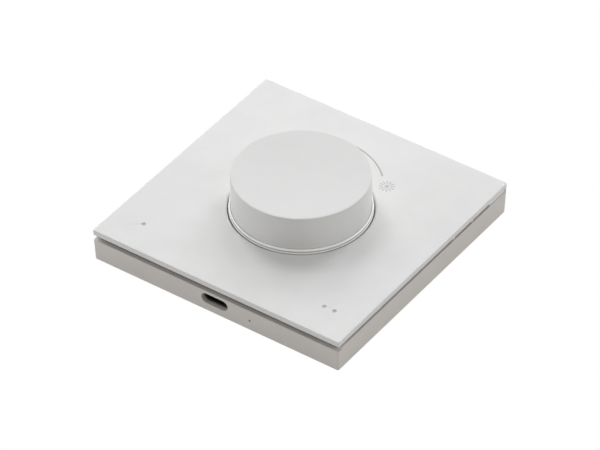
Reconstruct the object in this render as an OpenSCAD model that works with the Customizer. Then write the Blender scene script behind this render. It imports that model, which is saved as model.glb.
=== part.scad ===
// Square wall panel with a large push-and-turn knob, lying on its back.
// Millimetres. The origin is the middle of the back, +Z points out of the wall,
// +Y is the top edge of the hung panel, and the charging socket opens towards -Y.

/* [Front plate] */
// Side of the square front plate
plate_w = 86; // [74:0.5:100]
// Thickness of the front plate
plate_t = 1.8; // [1.5:0.1:2.4]
// Radius of the upright corners of plate and housing
corner_r = 0.5; // [0.3:0.1:3]
// Bevel round the plate's upper edge
top_bevel = 0.25; // [0.1:0.05:0.5]
// Bevel round the plate's lower edge
under_bevel = 0.2; // [0.1:0.05:0.4]
// Height of the open joint between the side walls and the plate
joint_h = 1.1; // [0.9:0.05:1.6]
// Rounding of the upper edge of the plate's hole
rim_round = 0.8; // [0.4:0.1:1.2]
// Gap between the plate's hole and the trim ring
hole_gap = 0.3; // [0.2:0.05:0.6]
// Thickness of the lips and ribs under the plate
lip_t = 0.9; // [0.7:0.1:1.4]
// Length of the hinge-end lips along the sides
lip_l = 8.8; // [6:0.2:12]
// Width of the open slots beside the lips
slot_w = 8.6; // [6:0.2:9]
// Number of slots on each side
slot_count = 2; // [0:1:3]
// Gap between the lips and the housing wall
lip_gap = 0.15; // [0.1:0.05:0.3]
// Width of a touch dimple
dimple_w = 1.3; // [0.8:0.1:2.5]
// Depth of a touch dimple
dimple_depth = 0.22; // [0.1:0.02:0.4]
// Distance from the plate's edges to the dimples
dimple_in = 10.5; // [8:0.5:13]
// Distance between the two dimples of the right-hand pair
dimple_pitch = 3.5; // [2.5:0.1:5]

/* [Housing] */
// Thickness of the housing walls
wall_t = 1.3; // [1:0.1:1.8]
// Thickness of the housing floor
floor_t = 1.2; // [1:0.1:1.8]
// Inward lean of the housing walls from top to foot
draft = 0.26; // [0.1:0.02:0.5]
// Bevel round the foot of the housing
foot_bevel = 0.2; // [0.1:0.05:0.8]
// Distance that the front plate overhangs the housing walls
flush_gap = 0.05; // [0:0.05:0.3]
// Height of the side walls above the inner cover
wall_rise = 0.8; // [0.5:0.1:1.2]
// Distance that the wall of the charging socket stands lower
socket_wall_drop = 0.7; // [0.3:0.1:1]
// Width of the full-height posts beside the lower wall
corner_post = 2.2; // [1.5:0.1:5]
// Radius of the screw bosses in the corners
boss_r = 2.4; // [2:0.1:2.8]
// Gap between the corner bosses and the walls
boss_in = 1.1; // [0.6:0.1:2]
// Thickness of small walls round bosses and pockets
rib_t = 0.8; // [0.6:0.1:1.2]
// Radius of the pin hole beside the socket
pin_hole_r = 0.4; // [0.3:0.05:0.7]

/* [Wall plate] */
// Distance that the wall plate stands in from the front plate's edges
wall_plate_in = 7; // [4:0.5:9]
// Thickness of the wall plate
wall_plate_t = 1; // [0.8:0.1:1.5]
// Corner radius of the wall plate
wall_plate_r = 4; // [2:0.5:8]
// Distance from the front plate's edges to the wall screw holes
wall_hole_in = 12.85; // [12:0.05:15]
// Radius of the wall screw holes
wall_hole_r = 2.2; // [1.8:0.1:2.6]
// Radius of the pockets for the wall screws' heads
head_pocket_r = 4.6; // [4:0.1:5]
// Depth of the pockets for the wall screws' heads
head_pocket_h = 2; // [1.5:0.1:2.1]
// Distance from the front plate's edges to the magnets
magnet_in = 12; // [12:0.5:14]
// Radius of the round magnets
magnet_r = 4; // [3:0.1:4.5]
// Thickness of the magnets
magnet_t = 1; // [0.8:0.1:1.4]
// Thickness of the floor under the magnets
magnet_floor = 0.4; // [0.3:0.05:0.6]

/* [Knob] */
// Radius of the knob
knob_r = 20.45; // [18:0.05:21]
// Height of the knob above the front plate
knob_h = 12; // [10:0.5:16]
// Thickness of the knob's wall
knob_wall = 1.4; // [1.2:0.1:2]
// Thickness of the knob's top
knob_top_t = 1.4; // [1:0.1:2]
// Depth of the hollow in the knob's top
dish_depth = 0.45; // [0.2:0.05:0.8]
// Width of the flat rim round the hollow
dish_rim = 0.35; // [0.2:0.05:1]
// Rounding of the knob's upper edge
knob_round = 0.3; // [0.15:0.05:0.6]
// Distance that the knob's skirt reaches below the plate's face
skirt_drop = 0.65; // [0.5:0.05:0.8]
// Travel of the knob when pushed
press_travel = 0.5; // [0.3:0.05:0.6]
// Thickness of the trim ring above the plate
ring_t = 0.55; // [0.3:0.05:0.8]
// Gap between the knob and the trim ring
ring_gap = 0.1; // [0.1:0.05:0.4]
// Height of the trim ring above the front plate
ring_h = 1; // [0.7:0.1:1.5]
// Width of the fine step low on the trim ring
ring_step = 0.15; // [0.1:0.05:0.25]
// Width of the trim ring's flange under the plate
ring_flange_w = 1.5; // [1:0.1:2]
// Thickness of the trim ring's flange
ring_flange_t = 0.7; // [0.5:0.1:0.8]

/* [Knob core and shaft] */
// Radius of the shaft
shaft_r = 3; // [2.8:0.1:3.2]
// Depth of the flat on the shaft
flat_depth = 1.5; // [1:0.1:1.8]
// Length of shaft that the hub grips
grip_l = 4.2; // [3:0.1:4.4]
// Thickness of the hub spring
spring_t = 0.3; // [0.2:0.05:0.4]
// Width of the hub spring
spring_w = 3.6; // [3:0.1:4]
// Radius of the hub
hub_r = 5.4; // [5:0.1:7]
// Thickness of the core's disc and skirt
core_t = 1.2; // [1:0.1:1.6]
// Thickness of the core's radial ribs
core_rib_t = 1; // [0.8:0.1:1.5]
// Number of radial ribs
core_ribs = 8; // [4:1:12]

/* [Encoder] */
// Side of the square encoder
enc_w = 12.5; // [11.5:0.1:13]
// Height of the encoder's moulded base
enc_base_h = 3.5; // [3.4:0.1:4]
// Thickness of the base's wall round the rotor
enc_wall = 0.85; // [0.7:0.05:1.4]
// Thickness of the rotor
rotor_t = 0.9; // [0.7:0.05:1]
// Side of the square tang that drives the rotor
tang_w = 3.6; // [3.2:0.1:3.8]
// Thickness of the bushing's flange
bushing_flange_t = 1; // [0.8:0.1:1.3]
// Radius of the bushing
bushing_r = 3.8; // [3.6:0.05:4]
// Height of the bushing above its flange
bushing_h = 5.4; // [5.2:0.1:6]
// Thickness of the folded steel frame
frame_t = 0.3; // [0.2:0.05:0.4]
// Width across flats of the nut
nut_af = 11; // [10:0.5:12]
// Thickness of the nut
nut_t = 2; // [1.6:0.1:2.2]
// Thickness of the washer
washer_t = 0.4; // [0.3:0.1:0.6]
// Radius of the washer
washer_r = 6; // [5.5:0.1:6.8]

/* [Inner cover] */
// Thickness of the inner cover
cover_t = 0.9; // [0.8:0.05:1.3]
// Height of the space between board and inner cover
cover_lift = 1.2; // [1.2:0.05:1.6]
// Thickness of the seat under the knob
seat_t = 1.2; // [1:0.1:1.4]
// Radius of the raised seat that carries the bushing
seat_r = 14; // [12.5:0.5:16]
// Gap between the inner cover and the housing walls
cover_gap = 0.25; // [0.15:0.05:0.4]
// Number of stiffening ribs on the inner cover
cover_ribs = 12; // [4:1:16]

/* [Board] */
// Gap between the board and the side walls
board_side_gap = 4.4; // [3.5:0.1:7]
// Distance from the knob's axis to the board's upper edge
board_back = 9.6; // [8.8:0.1:10.4]
// Thickness of the main board
board_t = 1; // [0.8:0.1:1.2]
// Height of the space under the main board
board_lift = 1.8; // [1.7:0.05:2.2]
// Gap between the board and the socket's wall
board_gap = 1; // [0.7:0.1:1.5]
// Distance that the socket's mouth lies behind the wall's face
socket_recess = 1.6; // [0.1:0.05:2]
// Width of the charging socket
socket_w = 8.94; // [8.9:0.02:9.2]
// Height of the charging socket
socket_h = 3.26; // [3.2:0.02:3.4]
// Depth of the charging socket
socket_l = 7.3; // [6.5:0.1:8]
// Thickness of the socket's shell
shell_t = 0.3; // [0.2:0.05:0.35]
// Width of the socket's tongue
tongue_w = 6.7; // [6.4:0.1:6.9]
// Thickness of the socket's tongue
tongue_t = 0.7; // [0.5:0.05:0.9]
// Side of the key switch bodies
key_w = 4.5; // [4:0.1:5]
// Height of the key switch bodies
key_h = 1.8; // [1.6:0.05:2]
// Radius of the key buttons
key_button_r = 1.2; // [1:0.05:1.5]
// Distance from the socket's middle to the reset button
reset_x = 12.2; // [10:0.1:14]
// Gap between the battery and the side walls
battery_side_gap = 17.4; // [17:0.2:22]
// Gap between the battery and the upper wall
battery_end_gap = 4.8; // [4.6:0.1:8]
// Gap between the battery and the board
battery_board_gap = 3; // [2:0.1:6]
// Thickness of the battery pouch
battery_t = 3.2; // [2.4:0.1:3.4]
// Thickness of the tape under the battery
tape_t = 0.3; // [0.2:0.05:0.4]

/* [Hidden] */
$fn = 96;
fine = 24;
eps = 0.01;
cut = 0.5;

// Small clearances
touch = 0.05;
run_gap = 0.05;
slip = 0.1;

// Heights, from the back upwards
floor_z = wall_plate_t + floor_t;
board_z = floor_z + board_lift;
board_top = board_z + board_t;
socket_z = board_z + board_t / 2;
cover_z = board_top + cover_lift;
cover_top = cover_z + cover_t;
wall_top = cover_top + wall_rise;
plate_z = wall_top + joint_h;
plate_top = plate_z + plate_t;
enc_base_top = board_top + enc_base_h;
flange_top = enc_base_top + bushing_flange_t;
seat_z = flange_top + frame_t;
seat_top = seat_z + seat_t;
bushing_top = flange_top + bushing_h;
skirt_z = plate_top - skirt_drop;
drum_top = skirt_z - press_travel - 0.35;
knob_top = plate_top + knob_h;
knob_ceiling = knob_top - dish_depth - knob_top_t;
core_disc_z = knob_ceiling - core_t;
hub_z = bushing_top + press_travel + 0.2;
ring_top = plate_top + ring_h;

// Widths
half = plate_w / 2;
wall_out = half - flush_gap;
foot_out = wall_out - draft;
wall_in = foot_out - wall_t;
boss_at = wall_in - boss_in - boss_r;
dimple_at = half - dimple_in;
ring_in_r = knob_r + ring_gap;
ring_out_r = ring_in_r + ring_t;
hole_r = ring_out_r + hole_gap;
drum_r = ring_in_r - touch;
drum_t = 1;
board_front = -(wall_in - board_gap);
board_half = wall_in - board_side_gap;
socket_y = -(wall_out - socket_recess);
battery_w = 2 * (wall_in - battery_side_gap);
battery_d = wall_in - battery_end_gap - battery_board_gap - board_back;
wall_plate_w = plate_w - 2 * wall_plate_in;
wall_hole_at = half - wall_hole_in;
magnet_at = half - magnet_in;

// Screws
cover_screw_r = 0.95;
cover_head_r = 1.9;
cover_head_h = 0.8;
cover_sink = 0.5;
cover_screw_l = 3;
board_screw_r = 0.7;
board_head_r = 1.5;
board_head_h = 0.6;
board_boss_r = 2;
board_screw_x = 18;
board_screw_in = 4.2;
lower_screw_x = 16;
lower_screw_in = 6;
board_screws_at = [
    for (sx = [-1, 1]) [sx * board_screw_x, board_back - board_screw_in],
    for (sx = [-1, 1]) [sx * lower_screw_x, board_front + lower_screw_in]
];
cover_screws_at = [for (sx = [-1, 1], sy = [-1, 1]) [sx * boss_at, sy * boss_at]];

// Wall fixing
magnet_low = 11;
magnet_high = 7;
magnets_at = [
    for (sx = [-1, 1]) [sx * magnet_at, -(magnet_at - magnet_low)],
    for (sx = [-1, 1]) [sx * magnet_at, magnet_at - magnet_high]
];
magnet_z = wall_plate_t + magnet_floor;
wall_holes_at = [[-wall_hole_at, 0], [wall_hole_at, 0]];
pocket_roof = 0.5;
cup_rim = 0.3;

// Snap arms of the front plate
hook_at = 22;
hook_in = 3.2;
hook_w = 6;
hook_t = 1.2;
hook_barb = 0.8;
hook_drop = 0.6;
hook_room = 0.85;
hook_slip = 0.15;
hooks_at = [for (sx = [-1, 1], sy = [-1, 1]) [sx * hook_at, sy * (wall_in - hook_in), sy]];

// Keys under the lower corners
key_z = board_top;
key_top = plate_z - 0.5;
key_pad_r = 1.7;
key_pit_z = board_top + 0.5;
key_button_z = board_top + 1;

// Reset switch under the board
reset_w = 4.4;
reset_d = 2;
reset_h = 1;
reset_y = board_front + 0.2;
reset_button_w = 1.6;
reset_button_h = 0.6;
reset_travel = 0.25;
reset_z = board_z - reset_h / 2;

// Encoder
rotor_z = board_top + 1.35;
pit_r = 2.8;
pit_z = board_top + 0.25;
plunger_r = 2.6;
plunger_t = 0.35;
tang_z = rotor_z - 0.15;
plunger_top = tang_z - touch;
rotor_room = enc_w / 2 - enc_wall;
rotor_r = rotor_room - 2 * slip;
clip_r = 3.9;
clip_t = 0.25;
clip_groove_r = shaft_r - 0.5;
clip_z = enc_base_top - clip_t - touch;
land_z = rotor_z + rotor_t + press_travel + touch;
shaft_top = hub_z + grip_l;
leg_w = 5;
leg_foot_w = 2;
terminal_w = 0.8;
terminal_t = 0.3;
terminals_at = [[-2.5, -1], [0, -1], [2.5, -1], [-2.5, 1], [2.5, 1]];

// Battery bay
battery_y = board_back + battery_board_gap + battery_d / 2;
battery_z = floor_z + tape_t;
battery_seal = 1.5;
battery_edge_t = 0.5;
battery_chamfer = 0.9;
rail_h = 2;
rail_l = 8;
connector = [6, 4, 1.1];
connector_in = [7, 4.2];
connector_at = [board_half - connector_in[0], board_back - connector_in[1]];
lead_r = 0.45;
lead_pitch = 1.6;
lead_slot = 1.1;

// Modules and chips on the board
radio = [16, 18];
radio_t = 0.4;
radio_can = [14.6, 14, 0.7];
radio_at = [-24, -15];
chip_w = 7;
chip_t = 0.9;
chip_at = [17, -17];
chip_mark = 2.6;
tongue_block = 1.6;
tongue_l = 4;
socket_foot = [2, 1.6];

// A rectangle with round corners
module rounded_rect(w, d, r) {
    square([w - 2 * r, d], center = true);
    square([w, d - 2 * r], center = true);
    for (sx = [-1, 1], sy = [-1, 1])
        translate([sx * (w / 2 - r), sy * (d / 2 - r)]) circle(r = r, $fn = fine);
}

// A flat slab with round corners, standing on height z
module slab(w, d, h, r, z = 0) {
    translate([0, 0, z]) linear_extrude(h) rounded_rect(w, d, r);
}

// A round peg or hole cutter
module peg(r, z, h) {
    translate([0, 0, z]) cylinder(r = r, h = h);
}

// A box centred in plan, standing on height z
module block(w, d, h, z = 0) {
    translate([-w / 2, -d / 2, z]) cube([w, d, h]);
}

// A square solid whose four sides follow one outline, given as [half width, height]
module square_turned(outline, r) {
    whole = concat(outline, [for (i = [len(outline) - 1:-1:0]) [-outline[i][0], outline[i][1]]]);
    widest = max([for (p = outline) p[0]]);
    low = outline[0][1];
    high = outline[len(outline) - 1][1];
    intersection() {
        slab(2 * widest, 2 * widest, high - low, r, low);
        rotate([90, 0, 0]) linear_extrude(4 * widest, center = true) polygon(whole);
        rotate([90, 0, 90]) linear_extrude(4 * widest, center = true) polygon(whole);
    }
}

// Puts a copy at each place of a list
module at(places) {
    for (p = places) translate([p[0], p[1], 0]) children();
}

// A flat rounded bar lying along Y, as a socket's outline
module stadium(w, h) {
    square([w - h, h], center = true);
    for (sx = [-1, 1]) translate([sx * (w - h) / 2, 0]) circle(d = h, $fn = fine);
}

// Extrudes a socket outline from the front wall inwards
module socket_prism(w, h, y, l) {
    translate([0, y, socket_z]) rotate([-90, 0, 0]) linear_extrude(l) stadium(w, h);
}

// Points of a quarter arc about a centre, from one angle to another
function arc(cx, cy, r, a0, a1, n = 6) =
    [for (i = [0:n]) let (a = a0 + (a1 - a0) * i / n) [cx + r * cos(a), cy + r * sin(a)]];

// Steel sheet that is screwed to the wall
module wall_plate() color("#A9ABAD") difference() {
    slab(wall_plate_w, wall_plate_w, wall_plate_t, wall_plate_r);
    at(wall_holes_at) peg(wall_hole_r, -cut, wall_plate_t + 2 * cut);
}

// Tray with the socket's opening, bosses, magnet cups and battery bay
module rear_housing() color("#ABA7A1") difference() {
    union() {
        difference() {
            housing_block();
            slab(2 * wall_in, 2 * wall_in, wall_top, corner_r, floor_z);
        }
        intersection() {
            housing_fittings();
            slab(2 * wall_in + wall_t, 2 * wall_in + wall_t, wall_top, corner_r, wall_plate_t + eps);
        }
    }
    housing_cuts();
}

// Outer block of the housing, leaning in towards its foot
module housing_block() {
    square_turned([
        [foot_out - foot_bevel, 0],
        [foot_out, foot_bevel],
        [wall_out, wall_top]
    ], corner_r);
}

// Bosses, cups and rails that stand on the housing's floor
module housing_fittings() {
    at(cover_screws_at) peg(boss_r, floor_z - eps, cover_z - floor_z + eps);
    at(board_screws_at) peg(board_boss_r, floor_z - eps, board_lift + eps);
    at(magnets_at) peg(magnet_r + slip + rib_t, floor_z - eps, magnet_z + magnet_t + cup_rim - floor_z);
    at(wall_holes_at) peg(head_pocket_r + rib_t, floor_z - eps, wall_plate_t + head_pocket_h + pocket_roof - floor_z);
    battery_rails();
}

// Low corner rails round the battery
module battery_rails() {
    for (sx = [-1, 1], sy = [-1, 1])
        translate([sx * (battery_w / 2 + slip), battery_y + sy * (battery_d / 2 + slip), floor_z - eps])
            mirror([sx > 0 ? 0 : 1, 0, 0]) mirror([0, sy > 0 ? 0 : 1, 0]) {
                translate([-rail_l, 0, 0]) cube([rail_l + rib_t, rib_t, rail_h]);
                translate([0, -rail_l / 2, 0]) cube([rib_t, rail_l / 2, rail_h]);
            }
}

// Everything that is cut from the housing
module housing_cuts() {
    slab(wall_plate_w + 2 * slip, wall_plate_w + 2 * slip, wall_plate_t + eps, wall_plate_r, -eps);
    at(wall_holes_at) peg(head_pocket_r, 0, wall_plate_t + head_pocket_h);
    at(magnets_at) peg(magnet_r + slip, magnet_z, magnet_t + cut);
    at(cover_screws_at) peg(cover_screw_r + touch, floor_z + 0.8, cover_z);
    at(board_screws_at) peg(board_screw_r + touch, floor_z - 0.4, board_z);
    socket_prism(socket_w + 0.34, socket_h + 0.34, -half, wall_t + 1.2);
    translate([reset_x, -half, reset_z]) rotate([-90, 0, 0]) cylinder(r = pin_hole_r, h = wall_t + 1.2, $fn = fine);
    lower_w = 2 * (wall_out - corner_post);
    translate([-lower_w / 2, -half, wall_top - socket_wall_drop])
        cube([lower_w, half - wall_in + cut, socket_wall_drop + cut]);
}

// Round magnets in the floor's cups
module magnets() color("#8E9093") at(magnets_at) peg(magnet_r, magnet_z, magnet_t);

// Circuit board, open round the socket and the corner bosses
module main_board() color("#1F5B3C") difference() {
    translate([0, (board_front + board_back) / 2, 0])
        slab(2 * board_half, board_back - board_front, board_t, 1, board_z);
    at(cover_screws_at) peg(boss_r + 0.5, board_z - cut, board_t + 2 * cut);
    at(board_screws_at) peg(board_screw_r + slip, board_z - cut, board_t + 2 * cut);
    translate([0, board_front, 0])
        block(socket_w + 0.3, 2 * (socket_y + socket_l - board_front + slip), board_t + 2 * cut, board_z - cut);
    for (p = terminals_at)
        translate([p[0], p[1] * (enc_w / 2 + terminal_t / 2 + 0.2), 0])
            peg(0.6, board_z - cut, board_t + 2 * cut, $fn = fine);
    for (sx = [-1, 1])
        translate([sx * (enc_w + frame_t) / 2, 0, 0])
            block(frame_t + 0.5, leg_foot_w + 0.4, board_t + 2 * cut, board_z - cut);
}

// A pan-head screw with a cross recess, its head resting on height z
module screw(shank_r, head_r, head_h, shank_l, z) difference() {
    union() {
        peg(head_r, z, head_h);
        peg(shank_r, z - shank_l, shank_l + eps);
    }
    for (a = [0, 90]) rotate(a) block(head_r * 1.2, head_r * 0.25, head_h, z + head_h * 0.4);
}

module board_screws() color("#8C8F92") at(board_screws_at)
    screw(board_screw_r, board_head_r, board_head_h, board_t + board_lift + 0.2, board_top);

// Drawn shell of the charging socket, with a closed back and two side feet
module usb_shell() color("#C9CACB") {
    difference() {
        socket_prism(socket_w, socket_h, socket_y, socket_l);
        socket_prism(socket_w - 2 * shell_t, socket_h - 2 * shell_t, socket_y - cut, socket_l - shell_t + cut);
    }
    for (sx = [-1, 1])
        translate([sx * (socket_w / 2 + 0.7), socket_y + socket_l - 1.5 * socket_foot[1], 0])
            block(socket_foot[0], socket_foot[1], shell_t, board_top);
}

// Contact tongue of the charging socket on its rear block
module usb_tongue() color("#2A2B2D") {
    back_y = socket_y + socket_l - shell_t;
    inner = 2 * shell_t + 2 * touch;
    socket_prism(socket_w - inner, socket_h - inner, back_y - tongue_block - touch, tongue_block);
    translate([0, back_y - tongue_block - tongue_l / 2 + 0.2, 0])
        block(tongue_w, tongue_l, tongue_t, socket_z - tongue_t / 2);
}

// Shielded radio module
module radio_module() color("#B9BBBD") translate([radio_at[0], radio_at[1], 0]) {
    block(radio[0], radio[1], radio_t, board_top);
    translate([0, -(radio[1] - radio_can[1]) / 2 + rib_t, 0])
        slab(radio_can[0], radio_can[1], radio_can[2], rib_t, board_top + radio_t - eps);
}

// Control chip, one corner marked by a small pit
module control_chip() color("#2B2C2E") translate([chip_at[0], chip_at[1], 0]) difference() {
    block(chip_w, chip_w, chip_t, board_top);
    translate([-chip_mark, chip_mark, 0]) peg(0.4, board_top + chip_t - slip, 1, $fn = fine);
}

// Flat pouch cell: a swollen middle between two sealed edges
module battery_pouch() color("#C6C8CA") translate([0, battery_y, 0]) {
    bulge = [
        [battery_d / 2 - battery_chamfer, battery_z],
        [battery_d / 2, battery_z + battery_chamfer],
        [battery_d / 2, battery_z + battery_t - battery_chamfer],
        [battery_d / 2 - battery_chamfer, battery_z + battery_t]
    ];
    outline = concat(bulge, [for (i = [3:-1:0]) [-bulge[i][0], bulge[i][1]]]);
    rotate([90, 0, 90]) linear_extrude(battery_w - 2 * battery_seal, center = true) polygon(outline);
    block(battery_w, battery_d - 2 * battery_chamfer, battery_edge_t, battery_z + (battery_t - battery_edge_t) / 2);
}

// Double-sided tape that holds the battery down
module battery_tape() color("#D9D6CC") translate([0, battery_y, 0])
    block(battery_w * 0.8, battery_d * 0.75, tape_t, floor_z);

// Two-way connector of the battery on the board
module battery_connector() color("#EFECE2") translate([connector_at[0], connector_at[1], 0]) difference() {
    block(connector[0], connector[1], connector[2], board_top);
    for (sx = [-1, 1])
        translate([sx * lead_pitch / 2, connector[1] / 2, 0])
            block(lead_slot, 2.4, connector[2], board_top + slip);
}

// Route of one battery lead, from the pouch's edge to the connector
function lead_route(s) = let (
    x0 = battery_w / 2,
    z0 = battery_z + battery_t / 2,
    x1 = connector_at[0] + s * lead_pitch / 2,
    y0 = battery_y + 2 + s * lead_pitch / 2,
    y1 = connector_at[1] + connector[1] / 2 - 1,
    z1 = board_top + slip + lead_r + touch / 2,
    bend = x1 - x0 - 1,
    y_bend = y0 - bend,
    y_board = board_back + 2
) concat(
    [[x0 + touch, y0, z0], [x0 + 1, y0, z0]],
    [for (i = [1:5]) let (a = 90 - i * 18) [x0 + 1 + bend * cos(a), y_bend + bend * sin(a), z0]],
    [for (i = [1:4]) let (t = i / 4) [x1, y_bend + (y_board - y_bend) * t, z0 + (z1 - z0) * t]],
    [[x1, y1, z1]]
);

// A round tube swept along a list of points
module tube_along(path, r, sides = 8) {
    n = len(path);
    function dir(i) = let (d = path[min(i + 1, n - 1)] - path[max(i - 1, 0)]) d / norm(d);
    function side(i) = let (c = cross(dir(i), [0, 0, 1])) c / norm(c);
    function upper(i) = cross(side(i), dir(i));
    points = [for (i = [0:n - 1], k = [0:sides - 1])
        path[i] + r * (cos(360 * k / sides) * side(i) + sin(360 * k / sides) * upper(i))];
    skin = [for (i = [0:n - 2], k = [0:sides - 1]) let (j = (k + 1) % sides)
        [i * sides + k, i * sides + j, (i + 1) * sides + j, (i + 1) * sides + k]];
    ends = [[for (k = [sides - 1:-1:0]) k], [for (k = [0:sides - 1]) (n - 1) * sides + k]];
    polyhedron(points, concat(skin, ends), convexity = 4);
}

module battery_leads() {
    color("#B3302B") tube_along(lead_route(1), lead_r);
    color("#26272A") tube_along(lead_route(-1), lead_r);
}

// Body of a key switch with the pit of its button
module key_body() difference() {
    slab(key_w, key_w, key_h, 0.4, key_z);
    peg(key_button_r + run_gap, key_pit_z, key_h);
}

module left_key_body() color("#3A3B3D") translate([-dimple_at, -dimple_at, 0]) key_body();
module right_key_body() color("#3A3B3D") translate([dimple_at, -dimple_at, 0]) key_body();

// Button of a key switch
module key_button() {
    peg(key_button_r, key_button_z, key_top - key_button_z - 0.15);
    peg(key_button_r - 0.2, key_top - 0.16, 0.16);
}

module left_key_button() color("#D8D4C8") translate([-dimple_at, -dimple_at, 0]) key_button();
module right_key_button() color("#D8D4C8") translate([dimple_at, -dimple_at, 0]) key_button();

// Side-pushed reset switch under the board's front edge
module reset_switch_body() color("#3A3B3D") translate([reset_x, reset_y + reset_d / 2, 0]) difference() {
    block(reset_w, reset_d, reset_h, board_z - reset_h);
    translate([0, -reset_d / 2, 0])
        block(reset_button_w + 2 * run_gap, 2.2, reset_button_h + 2 * run_gap, reset_z - reset_button_h / 2 - run_gap);
}

module reset_button() color("#D8D4C8") {
    front = reset_y - 0.5;
    translate([reset_x - reset_button_w / 2, front, reset_z - reset_button_h / 2])
        cube([reset_button_w, reset_y + 1.1 - reset_travel - touch - front, reset_button_h]);
}

// Moulded base of the encoder, with the rotor's well and the plunger's pit
module encoder_base() color("#1E2F4A") difference() {
    slab(enc_w, enc_w, enc_base_h, 0.5, board_top);
    peg(rotor_room, rotor_z - touch, enc_base_h);
    peg(pit_r, pit_z, enc_base_h);
    for (p = terminals_at)
        translate([p[0], p[1] * enc_w / 2, 0])
            block(terminal_w + 0.2, 1.6, 0.5 + eps, board_top - eps);
}

// Bent pins of the encoder, through the board
module encoder_terminals() color("#C9B37A") for (p = terminals_at)
    translate([p[0], 0, 0]) mirror([0, p[1] > 0 ? 0 : 1, 0]) {
        y0 = enc_w / 2 + 0.2;
        translate([-terminal_w / 2, y0 - 0.9, board_top + 0.1]) cube([terminal_w, 0.9 + terminal_t, terminal_t]);
        translate([-terminal_w / 2, y0, board_z - 0.7]) cube([terminal_w, terminal_t, board_top + 0.15 - board_z + 0.7]);
    }

// Folded steel frame that clamps the encoder together
module encoder_frame() color("#B4B6B8") difference() {
    union() {
        block(enc_w + 2 * frame_t, enc_w - 2, frame_t, flange_top);
        for (sx = [-1, 1])
            translate([sx * (enc_w + frame_t) / 2, 0, 0]) {
                block(frame_t, leg_w, flange_top - board_top + eps, board_top);
                block(frame_t, leg_foot_w, board_t + 0.7 + eps, board_z - 0.7);
            }
    }
    peg(bushing_r + touch, flange_top - cut, frame_t + 2 * cut);
}

// Die-cast bushing that guides the shaft
module encoder_bushing() color("#9FA1A4") difference() {
    union() {
        slab(enc_w, enc_w, bushing_flange_t, 0.5, enc_base_top);
        peg(bushing_r, enc_base_top, bushing_top - enc_base_top - 0.3);
        translate([0, 0, bushing_top - 0.3]) cylinder(r1 = bushing_r, r2 = bushing_r - 0.3, h = 0.3, $fn = 96);
    }
    peg(shaft_r + run_gap, enc_base_top - cut, bushing_top);
}

module bushing_washer() color("#C2C4C6") difference() {
    peg(washer_r, seat_top, washer_t);
    peg(bushing_r + slip, seat_top - cut, washer_t + 2 * cut);
}

// Hexagon nut with a bevelled upper edge
module bushing_nut() color("#B7B9BB") difference() {
    z = seat_top + washer_t;
    intersection() {
        translate([0, 0, z]) cylinder(d = nut_af / cos(30), h = nut_t, $fn = 6);
        rotate_extrude() polygon([
            [0, z], [nut_af, z], [nut_af, z + nut_t - 0.8], [nut_af / 2 + 0.2, z + nut_t], [0, z + nut_t]
        ]);
    }
    peg(bushing_r + touch, z - cut, nut_t + 2 * cut);
}

// Contact disc that the shaft's tang turns
module encoder_rotor() color("#E4E1D6") difference() {
    peg(rotor_r, rotor_z, rotor_t);
    block(tang_w + slip, tang_w + slip, rotor_t + 2 * cut, rotor_z - cut);
    for (a = [0:45:315]) rotate(a) translate([rotor_r - 0.9, 0, 0]) peg(0.45, rotor_z + rotor_t - 0.3, 1, $fn = fine);
}

// Plunger of the encoder's push switch
module push_plunger() color("#2F3033") peg(plunger_r, plunger_top - plunger_t, plunger_t);

// Shaft with a drive tang below and a flat above
module knob_shaft() color("#B9BBBD") difference() {
    union() {
        block(tang_w, tang_w, land_z - tang_z + eps, tang_z);
        peg(shaft_r, land_z, shaft_top - 0.3 - land_z);
        translate([0, 0, shaft_top - 0.3]) cylinder(r1 = shaft_r, r2 = shaft_r - 0.3, h = 0.3, $fn = 96);
    }
    translate([shaft_r - flat_depth, -shaft_r, hub_z - 0.2]) cube([2 * shaft_r, 2 * shaft_r, grip_l + 1]);
    difference() {
        peg(shaft_r + cut, clip_z - touch, clip_t + 2 * touch);
        peg(clip_groove_r, clip_z - cut, clip_t + 2 * cut);
    }
}

// Open spring clip in the shaft's groove, under the bushing
module shaft_clip() color("#8D9093") difference() {
    peg(clip_r, clip_z, clip_t);
    peg(clip_groove_r, clip_z - cut, clip_t + 2 * cut);
    translate([0, -clip_groove_r * 0.8, clip_z - cut]) cube([clip_r + cut, clip_groove_r * 1.6, clip_t + 2 * cut]);
}

// Carrier inside the cap: hub, ribs and skirt under one disc
module knob_core() color("#D9D7D2") {
    core_r = knob_r - knob_wall - touch / 2;
    skirt_low = seat_top + 0.6;
    difference() {
        union() {
            difference() {
                peg(core_r, skirt_low, knob_ceiling - skirt_low);
                peg(core_r - core_t, skirt_low - cut, core_disc_z - skirt_low + cut);
            }
            peg(hub_r, hub_z, core_disc_z - hub_z + eps);
            for (i = [0:core_ribs - 1])
                rotate(i * 360 / core_ribs)
                    translate([hub_r - 0.4, -core_rib_t / 2, hub_z + 0.8])
                        cube([core_r - core_t - hub_r + 0.8, core_rib_t, core_disc_z - hub_z - 0.8 + eps]);
        }
        hub_bore();
    }
}

// D-shaped blind hole of the hub, with room for the spring behind the flat
module hub_bore() {
    gap = touch / 2;
    difference() {
        peg(shaft_r + gap, hub_z - cut, grip_l + cut + touch);
        translate([shaft_r - flat_depth + spring_t + 2 * gap, -shaft_r * 2, hub_z - 2 * cut])
            cube([shaft_r * 2, shaft_r * 4, grip_l + 4 * cut]);
    }
}

// Spring leaf between the shaft's flat and the hub
module hub_spring() color("#8D9093")
    translate([shaft_r - flat_depth + touch / 2, -spring_w / 2, hub_z + 0.1])
        cube([spring_t, spring_w, grip_l - 0.4]);

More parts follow.
